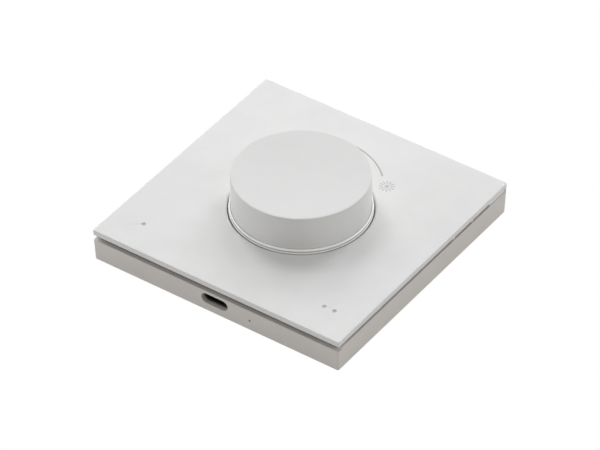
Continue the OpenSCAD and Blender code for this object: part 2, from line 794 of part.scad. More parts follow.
// Drawn cap of the knob, with a shallow hollow in its top
module knob_cap() color("#E3E3E2") rotate_extrude($fn = 180) {
    dish_r = knob_r - knob_round - dish_rim;
    steps = 12;
    dish = [for (i = [0:steps]) let (t = 1 - i / steps)
        [dish_r * t, knob_top - dish_depth * (1 - t * t)]];
    polygon(concat(
        [[0, knob_ceiling], [knob_r - knob_wall, knob_ceiling], [knob_r - knob_wall, skirt_z], [knob_r, skirt_z]],
        arc(knob_r - knob_round, knob_top - knob_round, knob_round, 0, 90),
        dish
    ));
}

// Fine two-step ring round the foot of the knob, on a hidden flange
module trim_ring() color("#E6E6E4") rotate_extrude($fn = 180) {
    step_z = plate_top - 0.3;
    bevel = 0.3;
    upper_r = ring_out_r - ring_step;
    polygon([
        [ring_in_r, cover_top],
        [ring_out_r + ring_flange_w, cover_top],
        [ring_out_r + ring_flange_w, cover_top + ring_flange_t],
        [ring_out_r, cover_top + ring_flange_t],
        [ring_out_r, step_z],
        [upper_r, step_z + ring_step * 0.6],
        [upper_r, ring_top - 0.45],
        [ring_in_r, ring_top]
    ]);
}

// Cover inside the housing, with the drum that carries ring and bushing
module inner_cover() color("#A7A49F") difference() {
    union() {
        difference() {
            slab(2 * (wall_in - cover_gap), 2 * (wall_in - cover_gap), cover_t, corner_r, cover_z);
            peg(drum_r - drum_t, cover_z - cut, cover_t + 2 * cut);
        }
        rotate_extrude() polygon([
            [drum_r - drum_t, cover_z],
            [drum_r, cover_z],
            [drum_r, drum_top],
            [seat_r, drum_top],
            [seat_r, seat_top],
            [bushing_r + slip, seat_top],
            [bushing_r + slip, seat_z],
            [seat_r - drum_t, seat_z],
            [seat_r - drum_t, drum_top - drum_t],
            [drum_r - drum_t, drum_top - drum_t]
        ]);
        cover_rib_web();
    }
    at(cover_screws_at) {
        peg(cover_screw_r + 0.15, cover_z - cut, cover_t + 2 * cut);
        peg(cover_head_r + 0.2, cover_top - cover_sink, cover_t);
    }
    for (sx = [-1, 1])
        translate([sx * dimple_at, -dimple_at, 0]) block(key_w + 0.7, key_w + 0.7, cover_t + 2 * cut, cover_z - cut);
    for (h = hooks_at)
        translate([h[0], h[1] + h[2] * (hook_room - hook_slip) / 2, 0])
            block(hook_w + 0.6, hook_t + hook_room + hook_slip, cover_t + 2 * cut, cover_z - cut);
}

// Thin ribs between the drum's upper step and its outer wall
module cover_rib_web() {
    for (i = [0:cover_ribs - 1])
        rotate((i + 0.5) * 360 / cover_ribs)
            translate([seat_r - 0.5, -rib_t / 2, drum_top - eps])
                cube([2.5, rib_t, (seat_top - drum_top) * 0.5]);
}

module cover_screws() color("#8C8F92") at(cover_screws_at)
    screw(cover_screw_r, cover_head_r, cover_head_h, cover_screw_l, cover_top - cover_sink);

// Front plate with its hole, dimples, hinge-end lips and snap arms
module front_plate() color("#E4E4E3") difference() {
    union() {
        square_turned([
            [half - under_bevel, plate_z],
            [half, plate_z + under_bevel],
            [half, plate_top - top_bevel],
            [half - top_bevel, plate_top]
        ], corner_r);
        plate_lips();
        for (h = hooks_at) translate([h[0], h[1], 0]) snap_arm(h[2]);
        for (sx = [-1, 1]) translate([sx * dimple_at, -dimple_at, 0]) peg(key_pad_r, key_top + touch, plate_z - key_top);
        hole_rib();
    }
    plate_hole();
    dimples();
}

// Lips round the hinge end and the ribs between the side slots
module plate_lips() {
    low = wall_top + lip_gap;
    lip_out = half - under_bevel;
    high = plate_z - low + eps;
    translate([-lip_out, lip_out - lip_t, low]) cube([2 * lip_out, lip_t, high]);
    for (sx = [-1, 1]) {
        side_x = sx > 0 ? lip_out - lip_t : -lip_out;
        translate([side_x, lip_out - lip_l, low]) cube([lip_t, lip_l, high]);
        for (i = [1:slot_count])
            translate([side_x, lip_out - lip_l - i * (slot_w + lip_t), low + lip_gap])
                cube([lip_t, lip_t, high - lip_gap]);
    }
}

// Arm that passes the inner cover and hooks under it
module snap_arm(side) {
    low = cover_z - touch * 2 - hook_drop;
    translate([-hook_w / 2, -hook_t / 2, low]) cube([hook_w, hook_t, plate_z - low + eps]);
    barb = [[0, low], [hook_barb, low + hook_drop - 0.15], [hook_barb, low + hook_drop], [0, low + hook_drop]];
    mirror([0, side > 0 ? 1 : 0, 0])
        translate([0, hook_t / 2 - eps, 0])
            rotate([90, 0, 90]) linear_extrude(hook_w, center = true) polygon(barb);
}

// Stiffening rib under the plate round its hole
module hole_rib() {
    rib_in = hole_r + ring_flange_w + 0.4;
    difference() {
        peg(rib_in + rib_t, plate_z - 0.5, 0.5 + eps);
        peg(rib_in, plate_z - 0.5 - cut, 0.5 + 2 * cut);
    }
}

// Hole for the trim ring, rounded at its upper edge
module plate_hole() {
    peg(hole_r, plate_z - 2, plate_t + 2 + cut, $fn = 180);
    low = plate_top - rim_round;
    rotate_extrude($fn = 180) polygon(concat(
        [[0, low]],
        [for (p = arc(hole_r + rim_round, low, rim_round, 180, 90, 5)) p],
        [[hole_r + rim_round, plate_top + cut], [0, plate_top + cut]]
    ));
}

// One shallow round pit at the left, two at the right
module dimples() {
    ball_r = (dimple_w * dimple_w / 4 + dimple_depth * dimple_depth) / (2 * dimple_depth);
    for (x = [-dimple_at, dimple_at - dimple_pitch / 2, dimple_at + dimple_pitch / 2])
        translate([x, -dimple_at, plate_top - dimple_depth + ball_r]) sphere(r = ball_r, $fn = 48);
}

wall_plate();
rear_housing();
magnets();
main_board();
board_screws();
usb_shell();
usb_tongue();
radio_module();
control_chip();
battery_pouch();
battery_tape();
battery_connector();
battery_leads();
left_key_body();
right_key_body();
reset_switch_body();
encoder_base();
encoder_terminals();
encoder_frame();
encoder_bushing();
bushing_washer();
bushing_nut();
inner_cover();
cover_screws();
trim_ring();
encoder_rotor();
knob_cap();
knob_core();
knob_shaft();
shaft_clip();
hub_spring();
push_plunger();
left_key_button();
right_key_button();
reset_button();
front_plate();
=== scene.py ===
"""Smart rotary switch: fine edges, finishes, print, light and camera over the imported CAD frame, in metres."""

import math

import bmesh
import bpy
from mathutils import Matrix, Vector


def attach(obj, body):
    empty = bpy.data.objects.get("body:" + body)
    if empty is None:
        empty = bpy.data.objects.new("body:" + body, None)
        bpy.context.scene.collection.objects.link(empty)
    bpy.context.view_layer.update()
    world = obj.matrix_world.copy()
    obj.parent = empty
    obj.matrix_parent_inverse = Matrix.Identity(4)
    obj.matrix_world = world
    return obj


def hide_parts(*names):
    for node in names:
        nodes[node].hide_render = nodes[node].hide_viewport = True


# The sizes in this script are in mm, and MM turns them into the frame's metres
MM = 0.001
WELD = 1e-7
PLATE_TOP, PLATE_LOW = 10.8, 9.0
PITS_X, PITS_Y = (-32.5, 30.75, 34.25), -32.5

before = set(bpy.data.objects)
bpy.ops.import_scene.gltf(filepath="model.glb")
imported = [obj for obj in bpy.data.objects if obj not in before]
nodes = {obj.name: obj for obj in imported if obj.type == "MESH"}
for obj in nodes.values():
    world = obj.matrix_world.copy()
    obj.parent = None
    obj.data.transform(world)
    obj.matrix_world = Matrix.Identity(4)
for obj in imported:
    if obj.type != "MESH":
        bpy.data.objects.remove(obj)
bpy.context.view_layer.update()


# Helpers for nodes and meshes

def linear(code):
    """An sRGB hex colour as the linear colour that the shaders want."""
    parts = [int(code[i:i + 2], 16) / 255 for i in (1, 3, 5)]
    return [c / 12.92 if c <= 0.04045 else ((c + 0.055) / 1.055) ** 2.4 for c in parts] + [1.0]


def add(tree, kind, feeds=(), stops=(), **settings):
    """One node in a tree, with its settings, its sockets' values or links, and a ramp's stops where it has them."""
    node = tree.nodes.new(kind)
    for name, value in settings.items():
        setattr(node, name, value)
    for key, value in dict(feeds).items():
        if isinstance(value, bpy.types.Node):
            value = value.outputs[0]
        if isinstance(value, bpy.types.NodeSocket):
            tree.links.new(value, node.inputs[key])
        else:
            node.inputs[key].default_value = value
    for i, (place, tone) in enumerate(stops):
        ramp = node.color_ramp.elements
        stop = ramp[i] if i < len(ramp) else ramp.new(place)
        stop.position, stop.color = place, tone
    return node


def shown(name, mesh):
    """A mesh as a new object in the scene, at the origin."""
    piece = bpy.data.objects.new(name, mesh)
    bpy.context.scene.collection.objects.link(piece)
    return piece


def applied(piece):
    """Keeps what a piece's modifiers make as its own plain mesh."""
    graph = bpy.context.evaluated_depsgraph_get()
    mesh = bpy.data.meshes.new_from_object(piece.evaluated_get(graph), depsgraph=graph)
    piece.modifiers.clear()
    piece.data = mesh
    return piece


def reworked(piece, change):
    """Lets a function change a piece's mesh."""
    bm = bmesh.new()
    bm.from_mesh(piece.data)
    change(bm)
    bm.to_mesh(piece.data)
    bm.free()
    return piece


def outward(bm):
    """Turns the faces of every closed form in a mesh outward."""
    bmesh.ops.recalc_face_normals(bm, faces=bm.faces)


def closed(bm):
    """Welds doubled points and turns the faces outward."""
    bmesh.ops.remove_doubles(bm, verts=bm.verts, dist=WELD)
    outward(bm)


def smoothed(piece, angle):
    """Smooth shading, with edges sharper than an angle in degrees kept crisp."""
    piece.data.shade_smooth()
    piece.data.set_sharp_from_angle(angle=math.radians(angle))


def finished(piece, *materials):
    """Gives a piece its finishes, in order."""
    piece.data.materials.clear()
    for material in materials:
        piece.data.materials.append(material)


def settle(piece, material, angle=35):
    """Closes a made mesh, smooths it up to an angle and gives it its finish."""
    reworked(piece, closed)
    smoothed(piece, angle)
    finished(piece, material)


def place(piece, body, node, slot):
    """Puts a piece on its CAD body, in the place of its CAD node, which it hides; the slot is not used."""
    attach(piece, body)
    if node:
        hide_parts(node)


# Finishes

CLOUD_STOPS = (0.3, 0.7)
METAL_CLOUD = 6.0


def blank(name):
    """An empty material, and its tree."""
    material = bpy.data.materials.new(name)
    material.use_nodes = True
    material.node_tree.nodes.clear()
    return material, material.node_tree


def moulded(name, tones, rough, grain, depth, ior=1.5, cloud=9.0, marks=None, **more):
    """Moulded plastic: two close tones in soft clouds, and the fine grain of its tool (grain and depth in mm).

    A real grain is far finer than the picture can hold, so it is drawn as coarse as it needs to show.
    """
    material, tree = blank(name)
    where = add(tree, "ShaderNodeTexCoord").outputs["Object"]
    clouds = add(tree, "ShaderNodeTexNoise", {"Vector": where, "Scale": 1 / (cloud * MM), "Detail": 3.0})
    fine = add(tree, "ShaderNodeTexNoise",
               {"Vector": where, "Scale": 1 / (grain * MM), "Detail": 4.0, "Roughness": 0.6})
    tone = add(tree, "ShaderNodeValToRGB", {"Fac": clouds}, stops=zip(CLOUD_STOPS, map(linear, tones)))
    tone = tone.outputs["Color"]
    if marks:
        tone = marks(tree, where, tone)
    gloss = add(tree, "ShaderNodeMapRange", {"Value": fine, "To Min": rough - 0.05, "To Max": rough + 0.05})
    bump = add(tree, "ShaderNodeBump", {"Height": fine, "Distance": depth * MM, "Strength": 1.0})
    shader = add(tree, "ShaderNodeBsdfPrincipled",
                 {"Base Color": tone, "Roughness": gloss.outputs["Result"], "IOR": ior, "Normal": bump, **more})
    add(tree, "ShaderNodeOutputMaterial", {"Surface": shader})
    return material


def metal(name, tones, rough, along, across, depth):
    """Metal with fine marks of its making: along and across are the marks' length and width in mm.

    The marks are drawn several times as wide as real ones, so that they show.
    """
    material, tree = blank(name)
    where = add(tree, "ShaderNodeTexCoord").outputs["Object"]
    fine = (1 / (along * MM), 1 / (across * MM), 1 / (across * MM))
    drawn = add(tree, "ShaderNodeMapping", {"Vector": where, "Scale": fine})
    marks = add(tree, "ShaderNodeTexNoise", {"Vector": drawn, "Scale": 1.0, "Detail": 4.0, "Roughness": 0.55})
    clouds = add(tree, "ShaderNodeTexNoise", {"Vector": where, "Scale": 1 / (METAL_CLOUD * MM), "Detail": 2.0})
    tone = add(tree, "ShaderNodeValToRGB", {"Fac": clouds}, stops=zip(CLOUD_STOPS, map(linear, tones)))
    gloss = add(tree, "ShaderNodeMapRange", {"Value": marks, "To Min": rough - 0.08, "To Max": rough + 0.1})
    bump = add(tree, "ShaderNodeBump", {"Height": marks, "Distance": depth * MM, "Strength": 1.0})
    shader = add(tree, "ShaderNodeBsdfPrincipled",
                 {"Base Color": tone.outputs["Color"], "Metallic": 1.0, "Roughness": gloss.outputs["Result"],
                  "Normal": bump})
    add(tree, "ShaderNodeOutputMaterial", {"Surface": shader})
    return material


PIT_TONE_IN, PIT_TONE_OUT, PIT_TONE_DEPTH = 0.58, 0.74, 0.1


def pits(tree, where, tone):
    """Greys the floors of the three small pits in the plate's face, with a soft border."""
    for x in PITS_X:
        middle = (x * MM, PITS_Y * MM, (PLATE_TOP - PIT_TONE_DEPTH) * MM)
        far = add(tree, "ShaderNodeVectorMath", {0: where, 1: middle}, operation="DISTANCE")
        inside = add(tree, "ShaderNodeMapRange",
                     {"Value": far.outputs["Value"], "From Min": PIT_TONE_IN * MM, "From Max": PIT_TONE_OUT * MM,
                      "To Min": 1.0, "To Max": 0.0})
        tone = add(tree, "ShaderNodeMix", {0: inside.outputs["Result"], 6: tone, 7: linear("#C2C2C0")},
                   data_type="RGBA").outputs[2]
    return tone


TRACK_STEP = 1.27


def tracks(tree, where, tone):
    """Copper tracks about 0.16 mm wide, in rows one step apart, and small pads, paler through the board's mask."""
    rows = add(tree, "ShaderNodeTexBrick",
               {"Vector": where, "Scale": 1 / MM, "Mortar Size": 0.08, "Mortar Smooth": 0.1,
                "Brick Width": 7 * TRACK_STEP, "Row Height": TRACK_STEP}, offset=0.37, squash=1.0)
    patch = add(tree, "ShaderNodeTexNoise", {"Vector": where, "Scale": 1 / (9 * MM), "Detail": 0.0})
    some = add(tree, "ShaderNodeMath", {0: patch.outputs["Fac"], 1: 0.47}, operation="GREATER_THAN")
    drawn = add(tree, "ShaderNodeMath", {0: rows.outputs["Fac"], 1: some}, operation="MULTIPLY")
    pads = add(tree, "ShaderNodeTexVoronoi",
               {"Vector": where, "Scale": 1 / (3 * TRACK_STEP * MM), "Randomness": 0.35},
               feature="F1", voronoi_dimensions="2D")
    pads = add(tree, "ShaderNodeMath", {0: pads.outputs["Distance"], 1: 0.11}, operation="LESS_THAN")
    copper = add(tree, "ShaderNodeMath", {0: drawn, 1: pads}, operation="MAXIMUM")
    through = add(tree, "ShaderNodeMath", {0: copper, 1: 0.6}, operation="MULTIPLY")
    return add(tree, "ShaderNodeMix", {0: through, 6: tone, 7: linear("#35835A")}, data_type="RGBA").outputs[2]


LEAD_BEND, LEAD_BEND_X, LEAD_BEND_Y = 5.0, 25.0, 21.6


def two_leads(tree, where, tone):
    """Leaves the outer lead red and makes the inner one black: they run side by side round a bend."""
    middle = (LEAD_BEND_X * MM, LEAD_BEND_Y * MM, 0.0)
    over = add(tree, "ShaderNodeVectorMath", {0: where, 1: middle}, operation="SUBTRACT")
    over = add(tree, "ShaderNodeVectorMath", {0: over, 1: (0.0, 0.0, 0.0)}, operation="MAXIMUM")
    flat = add(tree, "ShaderNodeVectorMath", {0: over, 1: (1.0, 1.0, 0.0)}, operation="MULTIPLY")
    reach = add(tree, "ShaderNodeVectorMath", {0: flat}, operation="LENGTH")
    outer = add(tree, "ShaderNodeMath", {0: reach.outputs["Value"], 1: LEAD_BEND * MM}, operation="GREATER_THAN")
    return add(tree, "ShaderNodeMix", {0: outer, 6: linear("#1D1D1E"), 7: tone}, data_type="RGBA").outputs[2]


# Face of the plate: clean cool white, its highlights spread by an even spark-eroded grain
plate_abs = moulded("white_abs_spark_eroded", ("#E6E6E5", "#EAEAE9"), 0.5, 0.35, 0.004, marks=pits)
# Tray of the housing: a warmer and slightly duller grey than the plate, so that the joint reads as two parts
housing_abs = moulded("warm_grey_abs_moulded", ("#DAD5D1", "#DED9D5"), 0.55, 0.4, 0.005)
# Knob: matt lacquer, smoother than the plate, with a long soft shine round its wall
knob_paint = moulded("white_abs_matt_lacquered", ("#E0E0DF", "#E2E2E1"), 0.32, 0.6, 0.002)
# Upper part of the trim ring: glossy opal white with a faint painted glow, so it shows as a bright line round the
# knob's foot
ring_opal_painted_glow = moulded("opal_ring_painted_glow", ("#F4F4F3", "#F8F8F7"), 0.22, 0.5, 0.0005, ior=1.58,
                    **{"Emission Color": linear("#FFFFFF"), "Emission Strength": 0.12})
# Foot and groove of the trim ring: the ring's white made darker and without the glow, as painted shade that edges the
# bright line
ring_painted_shade = moulded("white_abs_ring_painted_shade", ("#D8D8D6", "#DDDDDB"), 0.4, 0.5, 0.001)
# Lips under the plate: the plate's white made darker and warmer, as painted shade and a painted reflection of the grey
# housing beside it
lip_abs_painted_shade = moulded("white_abs_lip_painted_shade", ("#DDD7D3", "#E1DBD7"), 0.5, 0.35, 0.004)
# Ink of the arc: flat mid grey without shine
ink = moulded("grey_screen_print_ink", ("#B2B2B0", "#B6B6B4"), 0.5, 0.2, 0.001)
# Ink of the sun: a paler grey with a green cast, which stays faint at a distance
faint_ink = moulded("pale_grey_screen_print_ink", ("#C2C4C2", "#C7C9C7"), 0.5, 0.2, 0.001)
# Inner cover: dull darker grey, clearly not a show face
inner_abs = moulded("warm_grey_abs_plain", ("#B4B0AA", "#BAB6B0"), 0.5, 0.5, 0.003)
# Rotor and knob core: milky and a little waxy
natural_pom = moulded("natural_pom_moulded", ("#D9D7D0", "#E0DED8"), 0.4, 0.6, 0.002, ior=1.48)
# Socket tongue, chip and switch bodies: deep black with a low sheen
black_lcp = moulded("black_lcp_moulded", ("#17181A", "#1F2022"), 0.45, 0.2, 0.002)
# Connector and key buttons: creamy off-white
ivory_nylon = moulded("ivory_nylon_moulded", ("#E4DFD0", "#EAE6D9"), 0.42, 0.3, 0.002, ior=1.53)
# Base of the encoder: the dark blue that sets it off from the black parts
blue_nylon = moulded("dark_blue_nylon_moulded", ("#1B2C48", "#223557"), 0.45, 0.3, 0.002, ior=1.53)
# Tape under the battery: chalky and open-pored, with no shine
foam = moulded("pe_foam_tape_cut", ("#D3CFC4", "#DEDBD1"), 0.8, 0.15, 0.02)
# Wall plate: cool grey sheet with faint long rolling marks
steel_zinc = metal("steel_sheet_zinc_plated", ("#B2B4B6", "#C0C2C4"), 0.35, 8, 0.15, 0.002)
# Magnets: bright, slightly yellow and almost mirror smooth
nickel = metal("neodymium_magnet_nickel_plated", ("#C3C0B9", "#CFCCC6"), 0.22, 1.5, 1.5, 0.001)
# Screws, nut and washer: mid grey with a soft glint and short turning marks
screw_steel = metal("steel_screw_zinc_plated", ("#A5A7A9", "#B3B5B6"), 0.32, 0.6, 0.1, 0.002)
# Shell of the charging socket: steel darkened to a dark grey as painted shade in the port's mouth, with a dull metal
# shine
shell_steel_painted_shade = metal("steel_shell_painted_shade", ("#5A5B5C", "#646566"), 0.35, 3, 0.08, 0.002)
# Frame, clip and springs: bright strip with fine drawing lines
drawn_steel = metal("stainless_steel_drawn", ("#BFC0C1", "#CCCDCE"), 0.28, 3, 0.08, 0.002)
# Shield of the radio module: warm silver with a slightly uneven stamped face
tin = metal("nickel_silver_shield_stamped", ("#BDBDB8", "#C9C9C4"), 0.38, 1.2, 0.2, 0.003)
# Battery: pale foil with soft creases that break up its reflections
pouch = metal("aluminium_laminate_pouch", ("#C9CBCD", "#D5D7D8"), 0.4, 2.5, 1.2, 0.01)
# Shaft and bushing: darker, dull and finely pitted
die_cast = metal("zinc_die_cast", ("#9C9EA1", "#ABADB0"), 0.42, 0.4, 0.4, 0.004)
# Contacts and terminals: thin warm yellow lines
gold = metal("phosphor_bronze_gold_flashed", ("#C9A95E", "#D6B970"), 0.3, 0.8, 0.1, 0.001)
# Main board: satin green with tracks and pads showing through it
solder_mask = moulded("green_solder_mask", ("#14472C", "#1A5535"), 0.35, 0.8, 0.004, cloud=3.0, marks=tracks)
# Battery leads: one red and one black, with a soft vinyl shine
lead_pvc = moulded("pvc_lead_sleeve", ("#A51D1D", "#B52525"), 0.4, 0.4, 0.002, ior=1.53, marks=two_leads)


# Trees for turned, square and repeated forms

def begun(name, others=(), lengths=(), counts=()):
    """A new tree with named inputs (lengths in metres) and one output, and its inputs' sockets."""
    tree = bpy.data.node_groups.new(name, "GeometryNodeTree")
    for label, kind in dict(others).items():
        tree.interface.new_socket(label, in_out="INPUT", socket_type=kind)
    for label, value in dict(lengths).items():
        tree.interface.new_socket(label, in_out="INPUT", socket_type="NodeSocketFloat").default_value = value
    for label, value in dict(counts).items():
        tree.interface.new_socket(label, in_out="INPUT", socket_type="NodeSocketInt").default_value = value
    tree.interface.new_socket("Finish", in_out="INPUT", socket_type="NodeSocketMaterial")
    tree.interface.new_socket("Form", in_out="OUTPUT", socket_type="NodeSocketGeometry")
    return tree, add(tree, "NodeGroupInput").outputs


def ended(tree, form, given):
    """Ends a tree: makes every copy real, gives the form its finish and hands it out."""
    real = add(tree, "GeometryNodeRealizeInstances", {"Geometry": form})
    done = add(tree, "GeometryNodeSetMaterial", {"Geometry": real, "Material": given["Finish"]})
    add(tree, "NodeGroupOutput", {"Form": done})
    return tree


def swept_tree(name, square):
    """A tree that carries its object's own section points, in order, round the Z axis or round a square.

    Round the axis a point's X is its radius. Round the square X is how far in it lies from the outline.
    """
    tree, given = begun(name, {"Section": "NodeSocketGeometry"},
                        {"Half Width": 43 * MM, "Corner Radius": 1 * MM}, {"Sides": 192})
    here = add(tree, "GeometryNodeInputPosition")
    count = add(tree, "GeometryNodeAttributeDomainSize", {"Geometry": given["Section"]}).outputs["Point Count"]
    columns = add(tree, "ShaderNodeMath", {0: given["Sides"], 1: 1.0}, operation="ADD")
    grid = add(tree, "GeometryNodeMeshGrid",
               {"Size X": 1.0, "Size Y": 1.0, "Vertices X": columns, "Vertices Y": count})
    spot = add(tree, "ShaderNodeVectorMath", {0: here, 1: (0.5, 0.5, 0.0)})
    spot = add(tree, "ShaderNodeSeparateXYZ", {"Vector": spot})
    last = add(tree, "ShaderNodeMath", {0: count, 1: 1.0}, operation="SUBTRACT")
    row = add(tree, "ShaderNodeMath", {0: spot.outputs["Y"], 1: last}, operation="MULTIPLY")
    row = add(tree, "ShaderNodeMath", {0: row}, operation="ROUND")
    taken = add(tree, "GeometryNodeSampleIndex", {"Geometry": given["Section"], "Value": here, "Index": row},
                data_type="FLOAT_VECTOR", domain="POINT")
    if square:
        # Each quarter of the columns goes round one corner, and the next quarter starts a flat side further
        column = add(tree, "ShaderNodeMath", {0: spot.outputs["X"], 1: given["Sides"]}, operation="MULTIPLY")
        column = add(tree, "ShaderNodeMath", {0: column}, operation="ROUND")
        each = add(tree, "ShaderNodeMath", {0: given["Sides"], 1: 4.0}, operation="DIVIDE")
        turns = add(tree, "ShaderNodeMath", {0: column, 1: each}, operation="DIVIDE")
        turns = add(tree, "ShaderNodeMath", {0: turns, 1: 0.001}, operation="ADD")
        corner = add(tree, "ShaderNodeMath", {0: turns}, operation="FLOOR")
        first = add(tree, "ShaderNodeMath", {0: corner, 1: each}, operation="MULTIPLY")
        step = add(tree, "ShaderNodeMath", {0: column, 1: first}, operation="SUBTRACT")
        steps = add(tree, "ShaderNodeMath", {0: each, 1: 1.0}, operation="SUBTRACT")
        part = add(tree, "ShaderNodeMath", {0: step, 1: steps}, operation="DIVIDE")
        bend = add(tree, "ShaderNodeMath", {0: part, 1: corner}, operation="ADD")
        turn = add(tree, "ShaderNodeMath", {0: bend, 1: math.tau / 4}, operation="MULTIPLY")
        quarter = add(tree, "ShaderNodeMath", {0: corner, 1: math.tau / 4}, operation="MULTIPLY")
        reach = add(tree, "ShaderNodeMath", {0: given["Half Width"], 1: given["Corner Radius"]}, operation="SUBTRACT")
        point = add(tree, "ShaderNodeSeparateXYZ", {"Vector": taken.outputs[0]})
        reach = add(tree, "ShaderNodeMath", {0: reach, 1: point.outputs["X"]}, operation="SUBTRACT")
        anchor = add(tree, "ShaderNodeCombineXYZ", {"X": reach, "Y": reach, "Z": point.outputs["Z"]})
        anchor = add(tree, "ShaderNodeVectorRotate", {"Vector": anchor, "Angle": quarter}, rotation_type="Z_AXIS")
        arm = add(tree, "ShaderNodeCombineXYZ", {"X": given["Corner Radius"]})
        arm = add(tree, "ShaderNodeVectorRotate", {"Vector": arm, "Angle": turn}, rotation_type="Z_AXIS")
        there = add(tree, "ShaderNodeVectorMath", {0: anchor, 1: arm})
    else:
        turn = add(tree, "ShaderNodeMath", {0: spot.outputs["X"], 1: math.tau}, operation="MULTIPLY")
        there = add(tree, "ShaderNodeVectorRotate", {"Vector": taken.outputs[0], "Angle": turn}, rotation_type="Z_AXIS")
    laid = add(tree, "GeometryNodeSetPosition", {"Geometry": grid.outputs["Mesh"], "Position": there})
    welded = add(tree, "GeometryNodeMergeByDistance", {"Geometry": laid, "Distance": WELD})
    return ended(tree, welded, given)


def contacts_tree():
    """A tree that sets thin contact strips side by side on both faces of the socket's tongue."""
    tree, given = begun("contact_strips", {"Centre": "NodeSocketVector"},
                        {"Pitch": 0.5 * MM, "Strip Width": 0.25 * MM, "Strip Length": 2 * MM,
                         "Strip Height": 0.04 * MM, "Tongue Height": 0.7 * MM}, {"Strips": 12})
    size = add(tree, "ShaderNodeCombineXYZ",
               {"X": given["Strip Width"], "Y": given["Strip Length"], "Z": given["Strip Height"]})
    strip = add(tree, "GeometryNodeMeshCube", {"Size": size})
    gaps = add(tree, "ShaderNodeMath", {0: given["Strips"], 1: 1.0}, operation="SUBTRACT")
    span = add(tree, "ShaderNodeMath", {0: gaps, 1: given["Pitch"]}, operation="MULTIPLY")
    half = add(tree, "ShaderNodeMath", {0: span, 1: -0.5}, operation="MULTIPLY")
    rise = add(tree, "ShaderNodeMath", {0: given["Tongue Height"], 1: 0.5}, operation="MULTIPLY")
    both = tree.nodes.new("GeometryNodeJoinGeometry")
    for face in (1.0, -1.0):
        lift = add(tree, "ShaderNodeMath", {0: rise, 1: face}, operation="MULTIPLY")
        start = add(tree, "ShaderNodeCombineXYZ", {"X": half, "Z": lift})
        step = add(tree, "ShaderNodeCombineXYZ", {"X": given["Pitch"]})
        row = add(tree, "GeometryNodeMeshLine", {"Count": given["Strips"], "Start Location": start, "Offset": step})
        laid = add(tree, "GeometryNodeInstanceOnPoints", {"Points": row, "Instance": strip.outputs["Mesh"]})
        tree.links.new(laid.outputs[0], both.inputs[0])
    moved = add(tree, "GeometryNodeTransform", {"Geometry": both, "Translation": given["Centre"]})
    return ended(tree, moved, given)


def arc_tree():
    """A tree that lays a thin band of ink along an arc, narrower towards one end."""
    tree, given = begun("printed_arc", {"Centre": "NodeSocketVector"},
                        {"Radius": 23 * MM, "Width": 0.5 * MM, "Ink": 0.03 * MM, "Start": 0.8, "Sweep": 1.5,
                         "Thin End": 0.7})
    path = add(tree, "GeometryNodeCurveArc",
               {"Resolution": 96, "Radius": given["Radius"], "Start Angle": given["Start"],
                "Sweep Angle": given["Sweep"]})
    along = add(tree, "GeometryNodeSplineParameter").outputs["Factor"]
    taper = add(tree, "ShaderNodeMapRange", {"Value": along, "To Min": 1.0, "To Max": given["Thin End"]})
    path = add(tree, "GeometryNodeSetCurveNormal", {"Curve": path.outputs["Curve"]}, mode="Z_UP")
    path = add(tree, "GeometryNodeSetCurveRadius", {"Curve": path, "Radius": taper.outputs["Result"]})
    band = add(tree, "GeometryNodeCurvePrimitiveQuadrilateral", {"Width": given["Width"], "Height": given["Ink"]})
    swept = add(tree, "GeometryNodeCurveToMesh", {"Curve": path, "Profile Curve": band, "Fill Caps": True})
    moved = add(tree, "GeometryNodeTransform", {"Geometry": swept, "Translation": given["Centre"]})
    return ended(tree, moved, given)


def sun_tree():
    """A tree that prints a plain sun: a disc with short rays round it."""
    tree, given = begun("printed_sun", {"Centre": "NodeSocketVector"},
                        {"Disc": 0.7 * MM, "Ray In": 1.2 * MM, "Ray Out": 2.4 * MM, "Ray Width": 0.4 * MM,
                         "Ink": 0.03 * MM}, {"Rays": 12})
    disc = add(tree, "GeometryNodeMeshCylinder", {"Vertices": 40, "Radius": given["Disc"], "Depth": given["Ink"]})
    reach = add(tree, "ShaderNodeMath", {0: given["Ray Out"], 1: given["Ray In"]}, operation="ADD")
    middle = add(tree, "ShaderNodeMath", {0: reach, 1: 0.5}, operation="MULTIPLY")
    length = add(tree, "ShaderNodeMath", {0: given["Ray Out"], 1: given["Ray In"]}, operation="SUBTRACT")
    size = add(tree, "ShaderNodeCombineXYZ", {"X": length, "Y": given["Ray Width"], "Z": given["Ink"]})
    ray = add(tree, "GeometryNodeMeshCube", {"Size": size})
    points = add(tree, "GeometryNodePoints", {"Count": given["Rays"], "Position": (0.0, 0.0, 0.0)})
    step = add(tree, "ShaderNodeMath", {0: math.tau, 1: given["Rays"]}, operation="DIVIDE")
    angle = add(tree, "ShaderNodeMath", {0: add(tree, "GeometryNodeInputIndex"), 1: step}, operation="MULTIPLY")
    aim = add(tree, "ShaderNodeCombineXYZ", {"X": middle})
    spot = add(tree, "ShaderNodeVectorRotate", {"Vector": aim, "Angle": angle}, rotation_type="Z_AXIS")
    points = add(tree, "GeometryNodeSetPosition", {"Geometry": points, "Position": spot})
    swing = add(tree, "ShaderNodeCombineXYZ", {"Z": angle})
    rays = add(tree, "GeometryNodeInstanceOnPoints",
               {"Points": points, "Instance": ray.outputs["Mesh"], "Rotation": swing})
    both = tree.nodes.new("GeometryNodeJoinGeometry")
    tree.links.new(disc.outputs["Mesh"], both.inputs[0])
    tree.links.new(rays.outputs[0], both.inputs[0])
    moved = add(tree, "GeometryNodeTransform", {"Geometry": both, "Translation": given["Centre"]})
    return ended(tree, moved, given)


def grown(name, tree, base=None, **sizes):
    """Runs a tree once with named sizes, and keeps its result as a plain mesh."""
    piece = shown(name, base or bpy.data.meshes.new(name))
    run = piece.modifiers.new("form", "NODES")
    run.node_group = tree
    for item in tree.interface.items_tree:
        if item.in_out == "INPUT" and item.name in sizes:
            run[item.identifier] = sizes[item.name]
    return applied(piece)


